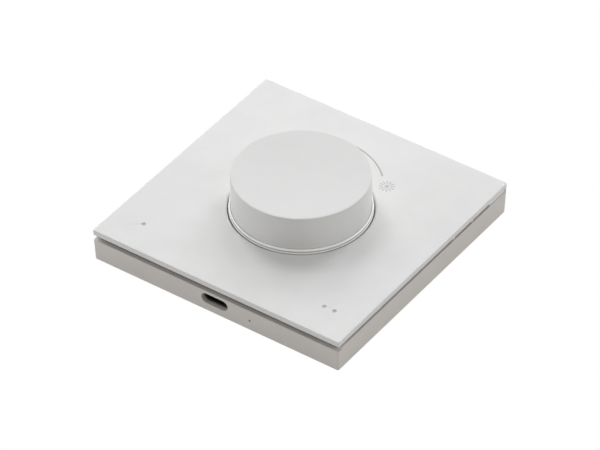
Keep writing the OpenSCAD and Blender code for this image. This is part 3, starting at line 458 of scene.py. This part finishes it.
def line(name, points):
    """A profile as loose points in order, given in mm as (radius, height)."""
    mesh = bpy.data.meshes.new(name)
    mesh.from_pydata([(r * MM, 0, z * MM) for r, z in points], [], [])
    return mesh


def bow(r, z, radius, start, end, steps):
    """Points of a rounded edge about (r, z), from a start to an end angle in degrees."""
    angles = [math.radians(start + (end - start) * i / steps) for i in range(steps + 1)]
    return [(r + radius * math.cos(a), z + radius * math.sin(a)) for a in angles]


turned = swept_tree("turned_form", square=False)
squared = swept_tree("square_form", square=True)


# The knob's cap: soft outer edge, and a top that sinks towards the middle

KNOB_R, KNOB_TOP, KNOB_FOOT, KNOB_WALL, KNOB_CEILING = 20.45, 22.8, 10.15, 1.4, 20.95
DISH, DISH_R, DISH_STEPS = 0.45, 19.8, 40
KNOB_EDGE, FOOT_EDGE, FOOT_CHAMFER = 0.3, 0.12, 0.1
SPOKE_R = 10

bore_r = KNOB_R - KNOB_WALL
cap_line = [(0, KNOB_CEILING), (SPOKE_R, KNOB_CEILING), (bore_r - 0.2, KNOB_CEILING), (bore_r, KNOB_CEILING)]
cap_line += [(bore_r, KNOB_FOOT + FOOT_CHAMFER), (bore_r + FOOT_CHAMFER, KNOB_FOOT), (KNOB_R - FOOT_EDGE, KNOB_FOOT)]
cap_line += bow(KNOB_R - FOOT_EDGE, KNOB_FOOT + FOOT_EDGE, FOOT_EDGE, -90, 0, 4)
cap_line += bow(KNOB_R - KNOB_EDGE, KNOB_TOP - KNOB_EDGE, KNOB_EDGE, 0, 90, 8)
for i in range(DISH_STEPS + 1):
    share = 1 - i / DISH_STEPS
    cap_line.append((DISH_R * share, KNOB_TOP - DISH * (1 - share ** 2)))
knob_cap = grown("knob_cap_lacquered", turned, line("cap_profile", cap_line), Sides=256, Finish=knob_paint)
settle(knob_cap, knob_paint)
place(knob_cap, "knob", "knob_cap", "knob_shell")


# The trim ring: a flange under the plate, a foot, a step with a fine groove, and a rounded top edge

RING_IN, RING_OUT, RING_FOOT, RING_TOP = 20.55, 21.1, 10.75, 11.8
RING_STEP, RING_EDGE, RING_INNER_EDGE = 0.14, 0.16, 0.08
FLANGE_OUT, FLANGE_LOW, FLANGE_HIGH = RING_OUT + 1.5, 7.1, 7.8
GROOVE, GROOVE_LOW, GROOVE_HIGH, GROOVE_END = 0.24, RING_FOOT + 0.02, RING_FOOT + 0.48, RING_FOOT + 0.5
GLOW_FROM = 10.4

upper = RING_OUT - RING_STEP
ring_line = [(RING_IN, FLANGE_LOW), (FLANGE_OUT, FLANGE_LOW), (FLANGE_OUT, FLANGE_HIGH), (RING_OUT, FLANGE_HIGH)]
ring_line += [(RING_OUT, GLOW_FROM)] + bow(upper, RING_FOOT - RING_STEP, RING_STEP, 0, 90, 5)
ring_line += [(upper - GROOVE, GROOVE_LOW), (upper - GROOVE, GROOVE_HIGH), (upper, GROOVE_END)]
ring_line += bow(upper - RING_EDGE, RING_TOP - RING_EDGE, RING_EDGE, 0, 90, 5)
ring_line += bow(RING_IN + RING_INNER_EDGE, RING_TOP - RING_INNER_EDGE, RING_INNER_EDGE, 90, 180, 3)
ring_line += [ring_line[0]]
trim_ring = grown("trim_ring_satin", turned, line("ring_profile", ring_line), Sides=256, Finish=ring_opal_painted_glow)
settle(trim_ring, ring_opal_painted_glow, 25)
trim_ring.data.materials.append(ring_painted_shade)
# The flange, the foot and the groove's floor take the darker second finish as painted shade; the rest keeps the painted
# glow
for face in trim_ring.data.polygons:
    far, height = face.center.xy.length / MM, face.center.z / MM
    groove_painted_shade = RING_IN + 0.04 <= far < upper - GROOVE / 2 and RING_FOOT < height < GROOVE_END
    face.material_index = int(height < GLOW_FROM or groove_painted_shade)
place(trim_ring, "base", "trim_ring", "ring_trim")


# Tools for shells with soft edges

def softly(piece, chosen, width, segments=2):
    """Rounds a piece's chosen sharp edges, with a width in mm."""
    def weigh(bm):
        bmesh.ops.remove_doubles(bm, verts=bm.verts, dist=2 * WELD)
        bmesh.ops.dissolve_limit(bm, angle_limit=math.radians(0.4), verts=bm.verts, edges=bm.edges)
        layers = bm.edges.layers.float
        weight = layers.get("bevel_weight_edge") or layers.new("bevel_weight_edge")
        for edge in bm.edges:
            sharp = len(edge.link_faces) == 2 and edge.calc_face_angle(0) > math.radians(20)
            edge[weight] = float(sharp and chosen([v.co / MM for v in edge.verts]))

    reworked(piece, weigh)
    soft = piece.modifiers.new("soft_edges", "BEVEL")
    soft.limit_method, soft.width, soft.segments = "WEIGHT", width * MM, segments
    soft.use_clamp_overlap = False
    applied(piece)


def softened(node, name, material, chosen, width, segments=3):
    """A copy of a CAD node with its doubles merged, its flats joined and its chosen sharp edges rounded (mm)."""
    piece = shown(name, nodes[node].data.copy())
    softly(piece, chosen, width, segments)
    finished(piece, material)
    smoothed(piece, 30)
    return piece


def block(bm, low, high):
    """A sharp box between two corners in mm, and its points."""
    low, high = Vector(low) * MM, Vector(high) * MM
    made = bmesh.ops.create_cube(bm, size=1.0)["verts"]
    bmesh.ops.scale(bm, vec=high - low, verts=made)
    bmesh.ops.translate(bm, vec=(low + high) / 2, verts=made)
    return made


def bar(bm, low, high, edge=0.1, finish=0):
    """A box with softly rounded edges, between two corners in mm."""
    edges = list({e for v in block(bm, low, high) for e in v.link_edges})
    cut = bmesh.ops.bevel(bm, geom=edges, offset=edge * MM, segments=2, profile=0.5, affect="EDGES")
    for face in {f for v in cut["verts"] for f in v.link_faces}:
        face.material_index = finish


def lathe(bm, section, x=0.0, y=0.0, sides=48):
    """A turned form of section points in mm, added to a mesh at a place."""
    piece = grown("turned", turned, line("section", section), Sides=sides)
    piece.data.transform(Matrix.Translation((x * MM, y * MM, 0)))
    bm.from_mesh(piece.data)
    bmesh.ops.delete(bm, geom=[e for e in bm.edges if e.is_wire], context="EDGES")
    bpy.data.objects.remove(piece)


def capped(bm, height):
    """Fills the open outlines that lie at a height in mm, leaving the holes inside them open."""
    rim = [e for e in bm.edges if e.is_boundary and all(abs(v.co.z - height * MM) < 1e-6 for v in e.verts)]
    bmesh.ops.triangle_fill(bm, edges=rim, use_beauty=True, use_dissolve=False)


def weighed(piece):
    """Smooth shading that keeps the large flats flat."""
    smoothed(piece, 35)
    even = piece.modifiers.new("even", "WEIGHTED_NORMAL")
    even.keep_sharp, even.weight, even.mode = True, 100, "FACE_AREA"
    applied(piece)


def tool(build):
    """A closed cutting shape, drawn in a mesh by a function."""
    return reworked(reworked(shown("tool", bpy.data.meshes.new("tool")), build), outward)


def carved(piece, cutter):
    """Cuts a cutting shape out of a piece, and takes the shape away."""
    cut = piece.modifiers.new("cut", "BOOLEAN")
    cut.operation, cut.solver, cut.object = "DIFFERENCE", "EXACT", cutter
    applied(piece)
    bpy.data.objects.remove(cutter)


def bore(bm, outline, y0, y1):
    """A closed prism along Y with an (x, z) outline in mm."""
    ends = [[bm.verts.new((x * MM, y * MM, z * MM)) for x, z in outline] for y in (y0, y1)]
    bm.faces.new(ends[0])
    bm.faces.new(ends[1])
    for i in range(len(outline)):
        bm.faces.new([ends[0][i], ends[0][i - 1], ends[1][i - 1], ends[1][i]])


def stadium(width, height, z, steps=12):
    """The outline of a slot with round ends about (0, z)."""
    flat = (width - height) / 2
    return bow(flat, z, height / 2, -90, 90, steps) + bow(-flat, z, height / 2, 90, 270, steps)


# The thin square plate: rounded outline, soft rim round the knob's hole, three pits, and what hangs under it

HALF, CORNER = 43.0, 0.5
UNDER_EDGE, TOP_EDGE = 0.2, 0.25
HOLE_R, HOLE_RIM = 21.4, 0.8
PIT_R, PIT_BOWL_R, PIT_LIP, PIT_BOWL = 0.7, 0.62, 0.05, 0.17
# Whatever hangs under the plate starts a little inside it
ROOT = PLATE_LOW + 0.1
LIP_T, LIP_LOW, LIP_SIDE = 0.9, 8.05, 8.8
RIB_W, RIB_LOW, RIB_STEP = 0.9, 8.2, 9.5
PAD_R, PAD_LOW, PAD_CHAMFER, PAD_AT = 1.7, 8.55, 0.1, 32.5
HOOK_X, HOOK_HALF, HOOK_Y, HOOK_T, HOOK_LOW = 22, 3, 38.19, 1.2, 5.5
CATCH_IN, CATCH_OUT, CATCH_LOW, CATCH_HIGH = 0.55, 1.4, 5.92, 6.1
COLLAR_IN, COLLAR_OUT, COLLAR_LOW = 23.3, 24.1, 8.5


def plate_details(bm):
    """The knob's hole, the pits, and under the plate the lips, ribs, key pads, hooks and collar."""
    rim = bow(HOLE_R + HOLE_RIM, PLATE_TOP - HOLE_RIM, HOLE_RIM, 180, 90, 12)
    lathe(bm, [(HOLE_R, PLATE_LOW)] + rim, sides=192)
    pit = [(PIT_R, PLATE_TOP), (PIT_R - 0.03, PLATE_TOP - 0.01), (PIT_R - 0.06, PLATE_TOP - 0.035)]
    for a in (8, 25, 45, 65, 90):
        a = math.radians(a)
        pit.append((PIT_BOWL_R * math.cos(a), PLATE_TOP - PIT_LIP - PIT_BOWL * math.sin(a)))
    for x in PITS_X:
        lathe(bm, pit, x, PITS_Y, 36)
    bmesh.ops.remove_doubles(bm, verts=bm.verts, dist=WELD)
    capped(bm, PLATE_TOP)
    capped(bm, PLATE_LOW)
    inlet = HALF - UNDER_EDGE
    # The lips and ribs take the second finish, the plate's white with painted shade
    bar(bm, (-inlet, inlet - LIP_T, LIP_LOW), (inlet, inlet, ROOT), finish=1)
    for side in (-1, 1):
        x0, x1 = sorted((side * (inlet - LIP_T), side * inlet))
        bar(bm, (x0, inlet - LIP_SIDE, LIP_LOW), (x1, inlet - 0.3, ROOT + 0.02), finish=1)
        for k in (1, 2):
            y0 = inlet - LIP_SIDE - k * RIB_STEP
            bar(bm, (x0, y0, RIB_LOW), (x1, y0 + RIB_W, ROOT), finish=1)
        pad = [(0, PAD_LOW), (PAD_R - PAD_CHAMFER, PAD_LOW), (PAD_R, PAD_LOW + PAD_CHAMFER), (PAD_R, ROOT), (0, ROOT)]
        lathe(bm, pad, side * PAD_AT, -PAD_AT)
        x0, x1 = side * HOOK_X - HOOK_HALF, side * HOOK_X + HOOK_HALF
        for end in (-1, 1):
            y = end * HOOK_Y
            bar(bm, (x0, y - HOOK_T / 2, HOOK_LOW), (x1, y + HOOK_T / 2, ROOT))
            y0, y1 = sorted((y - end * CATCH_IN, y - end * CATCH_OUT))
            bar(bm, (x0, y0, CATCH_LOW), (x1, y1, CATCH_HIGH), edge=0.05)
    collar = [(COLLAR_IN, COLLAR_LOW), (COLLAR_OUT, COLLAR_LOW), (COLLAR_OUT, ROOT), (COLLAR_IN, ROOT)]
    lathe(bm, collar + collar[:1], sides=96)
    outward(bm)


edge_line = [(UNDER_EDGE - x, z) for x, z in bow(0, PLATE_LOW + UNDER_EDGE, UNDER_EDGE, -90, 0, 4)]
edge_line += [(TOP_EDGE - x, z) for x, z in bow(0, PLATE_TOP - TOP_EDGE, TOP_EDGE, 0, 90, 6)]
plate = grown("front_plate_moulded", squared, line("edge_section", edge_line), Sides=36,
              **{"Half Width": HALF * MM, "Corner Radius": CORNER * MM})
reworked(plate, plate_details)
finished(plate, plate_abs, lip_abs_painted_shade)
weighed(plate)
place(plate, "plate", "front_plate", "plate_shell")


# The housing: a tray with leaning walls, a lowered front rim, openings in its front, and bosses on its floor

WALL_OUT, FOOT_OUT, WALL_IN, WALL_TOP, FLOOR_Z = 42.95, 42.69, 41.39, 7.9, 2.2
WALL_T, LEAN = WALL_OUT - WALL_IN, WALL_OUT - FOOT_OUT
FOOT_BEVEL, FLOOR_FILLET = 0.2, 0.4
FRONT_TOP, FRONT_EDGE, MOUTH_EDGE = 7.2, 0.3, 0.1
BEYOND, FRONT_IN = 44, 41
PORT_W, PORT_H, PORT_Z = 9.28, 3.6, 4.5
PIN_X, PIN_Z, PIN_R = 12.2, 3.5, 0.4
RECESS, RECESS_DEPTH = 36.1, 1.01
# Whatever stands on the floor starts a little inside it
STAND = FLOOR_Z - 0.1
BOSS_EDGE = 0.05
COVER_BOSSES = [(x * 37.89, y * 37.89) for x in (-1, 1) for y in (-1, 1)]
COVER_BOSS_R, COVER_SCREW_R, COVER_BOSS_TOP, COVER_SCREW_LOW = 2.4, 1.0, 6.2, 3.0
BOARD_BOSSES = [(-18, 5.4), (18, 5.4), (-16, -34.39), (16, -34.39)]
BOARD_BOSS_R, BOARD_SCREW_R, BOARD_BOSS_TOP, BOARD_SCREW_LOW = 2.0, 0.75, 4.0, 1.8
MAGNETS = [(-31, -20), (31, -20), (-31, 24), (31, 24)]
MAGNET_R, MAGNET_LOW, MAGNET_RING_R, MAGNET_RING_TOP = 4.1, 1.4, 4.9, 2.7
WALL_HOLES = [(-30.15, 0), (30.15, 0)]
HEAD_R, HEAD_TOP, DOME_R, DOME_LOW, DOME_TOP = 4.6, 2.6, 5.4, 3.0, 3.5
BATTERY_X, BATTERY_Y, BATTERY_HALF = 24.1, 24.6, 12.1
FENCE_T, FENCE_LONG, FENCE_SHORT, FENCE_TOP = 0.8, 8, 4, 4.2


def rim_cuts(bm):
    """The lowered front rim, the socket's mouth, the pin hole and the recess in the back."""
    block(bm, (-BEYOND, -BEYOND, FRONT_TOP), (BEYOND, -WALL_IN + 0.2, 9))
    bore(bm, stadium(PORT_W, PORT_H, PORT_Z), -BEYOND, -FRONT_IN)
    bore(bm, bow(PIN_X, PIN_Z, PIN_R, 0, 345, 23), -BEYOND, -FRONT_IN)
    block(bm, (-RECESS, -RECESS, -1), (RECESS, RECESS, RECESS_DEPTH))


def floor_cuts(bm):
    """Pockets in the floor for the magnets, the wall screws' heads and the board screws' tips."""
    above = FLOOR_Z + 0.8
    for x, y in MAGNETS:
        lathe(bm, [(0, MAGNET_LOW), (MAGNET_R, MAGNET_LOW), (MAGNET_R, above), (0, above)], x, y)
    for x, y in WALL_HOLES:
        lathe(bm, [(0, 0), (HEAD_R, 0), (HEAD_R, HEAD_TOP), (0, HEAD_TOP)], x, y)
    for x, y in BOARD_BOSSES:
        tip = [(0, BOARD_SCREW_LOW), (BOARD_SCREW_R, BOARD_SCREW_LOW), (BOARD_SCREW_R, above), (0, above)]
        lathe(bm, tip, x, y, 24)


def front_rim(ends):
    """The outer edge of the lowered front rim."""
    return all(abs(p.z - FRONT_TOP) < 0.01 and max(abs(p.x), abs(p.y)) > FOOT_OUT - 0.09 for p in ends)


def mouths(ends):
    """The tray's rim and the mouths of its openings, which the mould leaves slightly soft."""
    level = abs(ends[0].z - ends[1].z) < 0.01 and ends[0].z > FRONT_TOP - 0.1
    done = all(p.z < FRONT_TOP + 0.1 and max(abs(p.x), abs(p.y)) > 42 for p in ends)
    front = all(p.y < -42.5 and abs(p.z - PORT_Z) < 1.9 and abs(p.x) < 13 for p in ends)
    recess = all(abs(p.z) < 0.01 and max(abs(p.x), abs(p.y)) < RECESS + 0.1 for p in ends)
    return (level and not done) or front or recess


def housing_details(bm):
    """Bosses for both sets of screws, rings round the magnets, domes over the wall screws, the battery's fence."""
    cover = [(0, COVER_SCREW_LOW), (COVER_SCREW_R, COVER_SCREW_LOW), (COVER_SCREW_R, COVER_BOSS_TOP),
             (COVER_BOSS_R - BOSS_EDGE, COVER_BOSS_TOP), (COVER_BOSS_R, COVER_BOSS_TOP - BOSS_EDGE),
             (COVER_BOSS_R, STAND), (0, STAND)]
    board = [(BOARD_SCREW_R, STAND), (BOARD_SCREW_R, BOARD_BOSS_TOP), (BOARD_BOSS_R - BOSS_EDGE, BOARD_BOSS_TOP),
             (BOARD_BOSS_R, BOARD_BOSS_TOP - BOSS_EDGE), (BOARD_BOSS_R, STAND), (BOARD_SCREW_R, STAND)]
    ring = [(MAGNET_R, STAND), (MAGNET_R, MAGNET_RING_TOP), (MAGNET_RING_R, MAGNET_RING_TOP),
            (MAGNET_RING_R, STAND), (MAGNET_R, STAND)]
    dome = [(HEAD_R, STAND), (HEAD_R, DOME_LOW), (0, DOME_LOW), (0, DOME_TOP), (DOME_R, DOME_TOP), (DOME_R, STAND),
            (HEAD_R, STAND)]
    for section, places in ((cover, COVER_BOSSES), (board, BOARD_BOSSES), (ring, MAGNETS), (dome, WALL_HOLES)):
        for x, y in places:
            lathe(bm, section, x, y)
    long_bar = (-FENCE_LONG, FENCE_T), (0, FENCE_T)
    short_bar = (0.05, FENCE_T - 0.05), (-FENCE_SHORT, 0.3)
    for sx in (-1, 1):
        for sy in (-1, 1):
            x, y = sx * BATTERY_X, BATTERY_Y + sy * BATTERY_HALF
            for along, across in (long_bar, short_bar):
                x0, x1 = sorted(x + sx * u for u in along)
                y0, y1 = sorted(y + sy * v for v in across)
                bar(bm, (x0, y0, STAND), (x1, y1, FENCE_TOP))
    outward(bm)


def both_caps(bm):
    """Closes the tray's underside and its floor."""
    capped(bm, 0)
    capped(bm, FLOOR_Z)
    outward(bm)


wall = [(LEAN + FOOT_BEVEL, 0), (LEAN + 0.06, 0.06), (LEAN, FOOT_BEVEL), (0, WALL_TOP), (WALL_T, WALL_TOP)]
wall += bow(WALL_T + FLOOR_FILLET, FLOOR_Z + FLOOR_FILLET, FLOOR_FILLET, 180, 270, 3)
housing = grown("rear_housing_moulded", squared, line("wall_section", wall), Sides=36,
                **{"Half Width": WALL_OUT * MM, "Corner Radius": CORNER * MM})
reworked(housing, both_caps)
carved(housing, tool(rim_cuts))
carved(housing, tool(floor_cuts))
softly(housing, front_rim, FRONT_EDGE, 3)
softly(housing, mouths, MOUTH_EDGE)
reworked(housing, housing_details)
finished(housing, housing_abs)
weighed(housing)
place(housing, "base", "rear_housing", "housing_shell")


# The charging socket: rounded lip, rounded tongue, and its contact strips

SOCKET_LIP_Y, STRIPS_Y = -41.2, -37.2


def port_mouth(ends):
    """The drawn shell's front lip."""
    return all(p.y < SOCKET_LIP_Y for p in ends)


def every_edge(ends):
    """All the edges of a piece."""
    return True


shell = softened("usb_shell", "usb_shell_drawn", shell_steel_painted_shade, port_mouth, 0.09)
place(shell, "base", "usb_shell", "socket_steel")
tongue = softened("usb_tongue", "usb_tongue_moulded", black_lcp, every_edge, 0.06)
place(tongue, "base", "usb_tongue", "black_moulding")
contacts = grown("usb_contacts_gold", contacts_tree(), Centre=(0.0, STRIPS_Y * MM, PORT_Z * MM), Finish=gold)
settle(contacts, gold)
place(contacts, "base", None, "contact_metal")


# The print on the plate: an arc beside the knob that ends at a small sun

INK = 0.03
ARC_X, ARC_Y, ARC_R = -5.04, 8.6, 23.1
SUN_X, SUN_Y = 15.2, 21.6

arc = grown("printed_arc", arc_tree(), Radius=ARC_R * MM, Width=0.48 * MM, Ink=INK * MM, Start=math.radians(44.2),
            Sweep=math.radians(90.6), Centre=(ARC_X * MM, ARC_Y * MM, PLATE_TOP * MM), Finish=ink)
sun = grown("printed_sun", sun_tree(), Disc=0.7 * MM, Ink=INK * MM, Centre=(SUN_X * MM, SUN_Y * MM, PLATE_TOP * MM),
            Finish=faint_ink, **{"Ray In": 1.15 * MM, "Ray Out": 2.45 * MM, "Ray Width": 0.36 * MM, "Rays": 12})
for mark, tone in ((arc, ink), (sun, faint_ink)):
    settle(mark, tone)
    place(mark, "plate", None, "plate_shell")


# Finishes of the CAD nodes that show as they are

FINISHES = {
    "wall_plate": steel_zinc, "magnets": nickel, "main_board": solder_mask, "board_screws": screw_steel,
    "radio_module": tin, "control_chip": black_lcp, "battery_pouch": pouch, "battery_tape": foam,
    "battery_connector": ivory_nylon, "battery_leads": lead_pvc, "left_key_body": black_lcp,
    "right_key_body": black_lcp, "reset_switch_body": black_lcp, "encoder_base": blue_nylon,
    "encoder_terminals": gold, "encoder_frame": drawn_steel, "encoder_bushing": die_cast,
    "bushing_washer": screw_steel, "bushing_nut": screw_steel, "inner_cover": inner_abs,
    "cover_screws": screw_steel, "encoder_rotor": natural_pom, "knob_core": natural_pom, "knob_shaft": die_cast,
    "shaft_clip": drawn_steel, "hub_spring": drawn_steel, "push_plunger": black_lcp,
    "left_key_button": ivory_nylon, "right_key_button": ivory_nylon, "reset_button": ivory_nylon,
}
for node, material in FINISHES.items():
    for held in nodes[node].material_slots:
        held.material = material


# Floor, light and camera: angles in degrees, lengths in metres, and the camera's place in mm

FLOOR_HALF, FLOOR_DROP, FLOOR_GLOW = 3.0, 2e-5, 0.2
UNDERSIDE_GAP = 0.3 * MM
LAMP_DISTANCE, LAMP_SIZE = 1.3, 0.5
AIR_LIGHT, AIR_SEEN = 0.315, 1.0
CAMERA_TURN, CAMERA_TILT, CAMERA_ROLL = 35.267, 39.838, -0.229
CAMERA_BACK, CAMERA_ACROSS, CAMERA_UP = 1313.82, -0.380, 2.854
LENS_PIXELS, PICTURE_PIXELS, SENSOR_MM = 4525.16, 600, 36.0


def floor():
    """A wide white sweep: it bounces light, shows as plain white, and is clear from below.

    Rays that leave the object's underside also pass through it, so the underside isn't black from below.
    """
    mesh = bpy.data.meshes.new("floor")
    corners = [(x * FLOOR_HALF, y * FLOOR_HALF, -FLOOR_DROP) for x, y in ((-1, -1), (1, -1), (1, 1), (-1, 1))]
    mesh.from_pydata(corners, [], [(0, 1, 2, 3)])
    material, tree = blank("white_paper_sweep")
    paper = add(tree, "ShaderNodeBsdfDiffuse", {"Color": linear("#A8A8A8")})
    glow = add(tree, "ShaderNodeEmission", {"Color": linear("#FFFFFF"), "Strength": FLOOR_GLOW}, name="bounce")
    lit = add(tree, "ShaderNodeAddShader", {0: paper, 1: glow})
    white = add(tree, "ShaderNodeEmission", {"Color": linear("#FFFFFF"), "Strength": 1.0}, name="seen")
    ray = add(tree, "ShaderNodeLightPath").outputs
    burnt = add(tree, "ShaderNodeMixShader", {0: ray["Is Camera Ray"], 1: lit, 2: white})
    clear = add(tree, "ShaderNodeBsdfTransparent")
    below = add(tree, "ShaderNodeNewGeometry").outputs["Backfacing"]
    close = add(tree, "ShaderNodeMath", {0: ray["Ray Length"], 1: UNDERSIDE_GAP}, operation="LESS_THAN")
    through = add(tree, "ShaderNodeMath", {0: below, 1: close}, operation="MAXIMUM")
    both = add(tree, "ShaderNodeMixShader", {0: through, 1: burnt, 2: clear})
    add(tree, "ShaderNodeOutputMaterial", {"Surface": both})
    mesh.materials.append(material)
    shown("floor", mesh)


def softbox(name, azimuth, elevation, power, tint):
    """A round area light aimed at the object; azimuth from +X towards +Y, in degrees, and power in watts."""
    a, e = math.radians(azimuth), math.radians(elevation)
    aim = Vector((math.cos(a) * math.cos(e), math.sin(a) * math.cos(e), math.sin(e)))
    lamp = bpy.data.lights.new(name, "AREA")
    lamp.shape, lamp.size, lamp.energy, lamp.color = "DISK", LAMP_SIZE, power, linear(tint)[:3]
    light = bpy.data.objects.new(name, lamp)
    turn = aim.to_track_quat("Z", "Y").to_matrix().to_4x4()
    light.matrix_world = Matrix.Translation(aim * LAMP_DISTANCE) @ turn
    bpy.context.scene.collection.objects.link(light)


def studio():
    """The air round the object: soft white light, seen by the camera as a pale ground."""
    world = bpy.data.worlds.new("studio")
    bpy.context.scene.world = world
    world.use_nodes = True
    tree = world.node_tree
    tree.nodes.clear()
    air = add(tree, "ShaderNodeBackground", {"Color": linear("#FFFFFF"), "Strength": AIR_LIGHT})
    plain = add(tree, "ShaderNodeBackground", {"Color": linear("#F2F2F2"), "Strength": AIR_SEEN})
    direct = add(tree, "ShaderNodeLightPath").outputs["Is Camera Ray"]
    seen = add(tree, "ShaderNodeMixShader", {0: direct, 1: air, 2: plain})
    add(tree, "ShaderNodeOutputWorld", {"Surface": seen})


def camera():
    """The camera that was fitted to the picture: place, tilt, roll and lens."""
    turn, tilt, roll = (math.radians(a) for a in (CAMERA_TURN, CAMERA_TILT, CAMERA_ROLL))
    back = Vector((math.sin(turn) * math.cos(tilt), -math.cos(turn) * math.cos(tilt), math.sin(tilt)))
    right = Vector((0, 0, 1)).cross(back).normalized()
    up = back.cross(right)
    across = right * math.cos(roll) + up * math.sin(roll)
    upward = up * math.cos(roll) - right * math.sin(roll)
    eye = (back * CAMERA_BACK + across * CAMERA_ACROSS + upward * CAMERA_UP) * MM
    lens = bpy.data.cameras.new("camera")
    lens.sensor_width = SENSOR_MM
    lens.lens = SENSOR_MM * LENS_PIXELS / PICTURE_PIXELS
    lens.clip_start, lens.clip_end = 0.05, 20.0
    view = bpy.data.objects.new("camera", lens)
    view.matrix_world = Matrix.Translation(eye) @ Matrix((across, upward, back)).transposed().to_4x4()
    bpy.context.scene.collection.objects.link(view)
    bpy.context.scene.camera = view


# Softboxes round the object: azimuth and elevation in degrees, power in watts, and a faint tint
RIG = {
    "back": (90, 28, 2.95, "#F8FBFF"), "back_left": (120, 28, 2.05, "#FFFFFF"),
    "left_back": (150, 28, 2.4, "#FFFBFC"), "back_high": (90, 50, 1.9, "#FFFFFF"),
    "left_high": (150, 50, 3.1, "#FFFFFF"), "top": (120, 70, 0.45, "#FFFAF4"),
    "left_front_low": (210, 8, 4.6, "#F9FDFF"), "front_low": (270, 8, 1.15, "#FFF1DC"),
    "right_low": (30, 8, 2.8, "#FFFDF4"), "right_high": (0, 50, 1.45, "#F2F5FF"),
    "right": (0, 8, 0.65, "#FFFBF2"), "under_front": (270, -50, 3.0, "#FFFFFF"),
    "under_right": (40, -40, 2.0, "#FFFFFF"),
}
floor()
for name, (azimuth, elevation, power, tint) in RIG.items():
    softbox(name, azimuth, elevation, power, tint)
studio()
camera()
bpy.context.scene.view_settings.view_transform = "Standard"
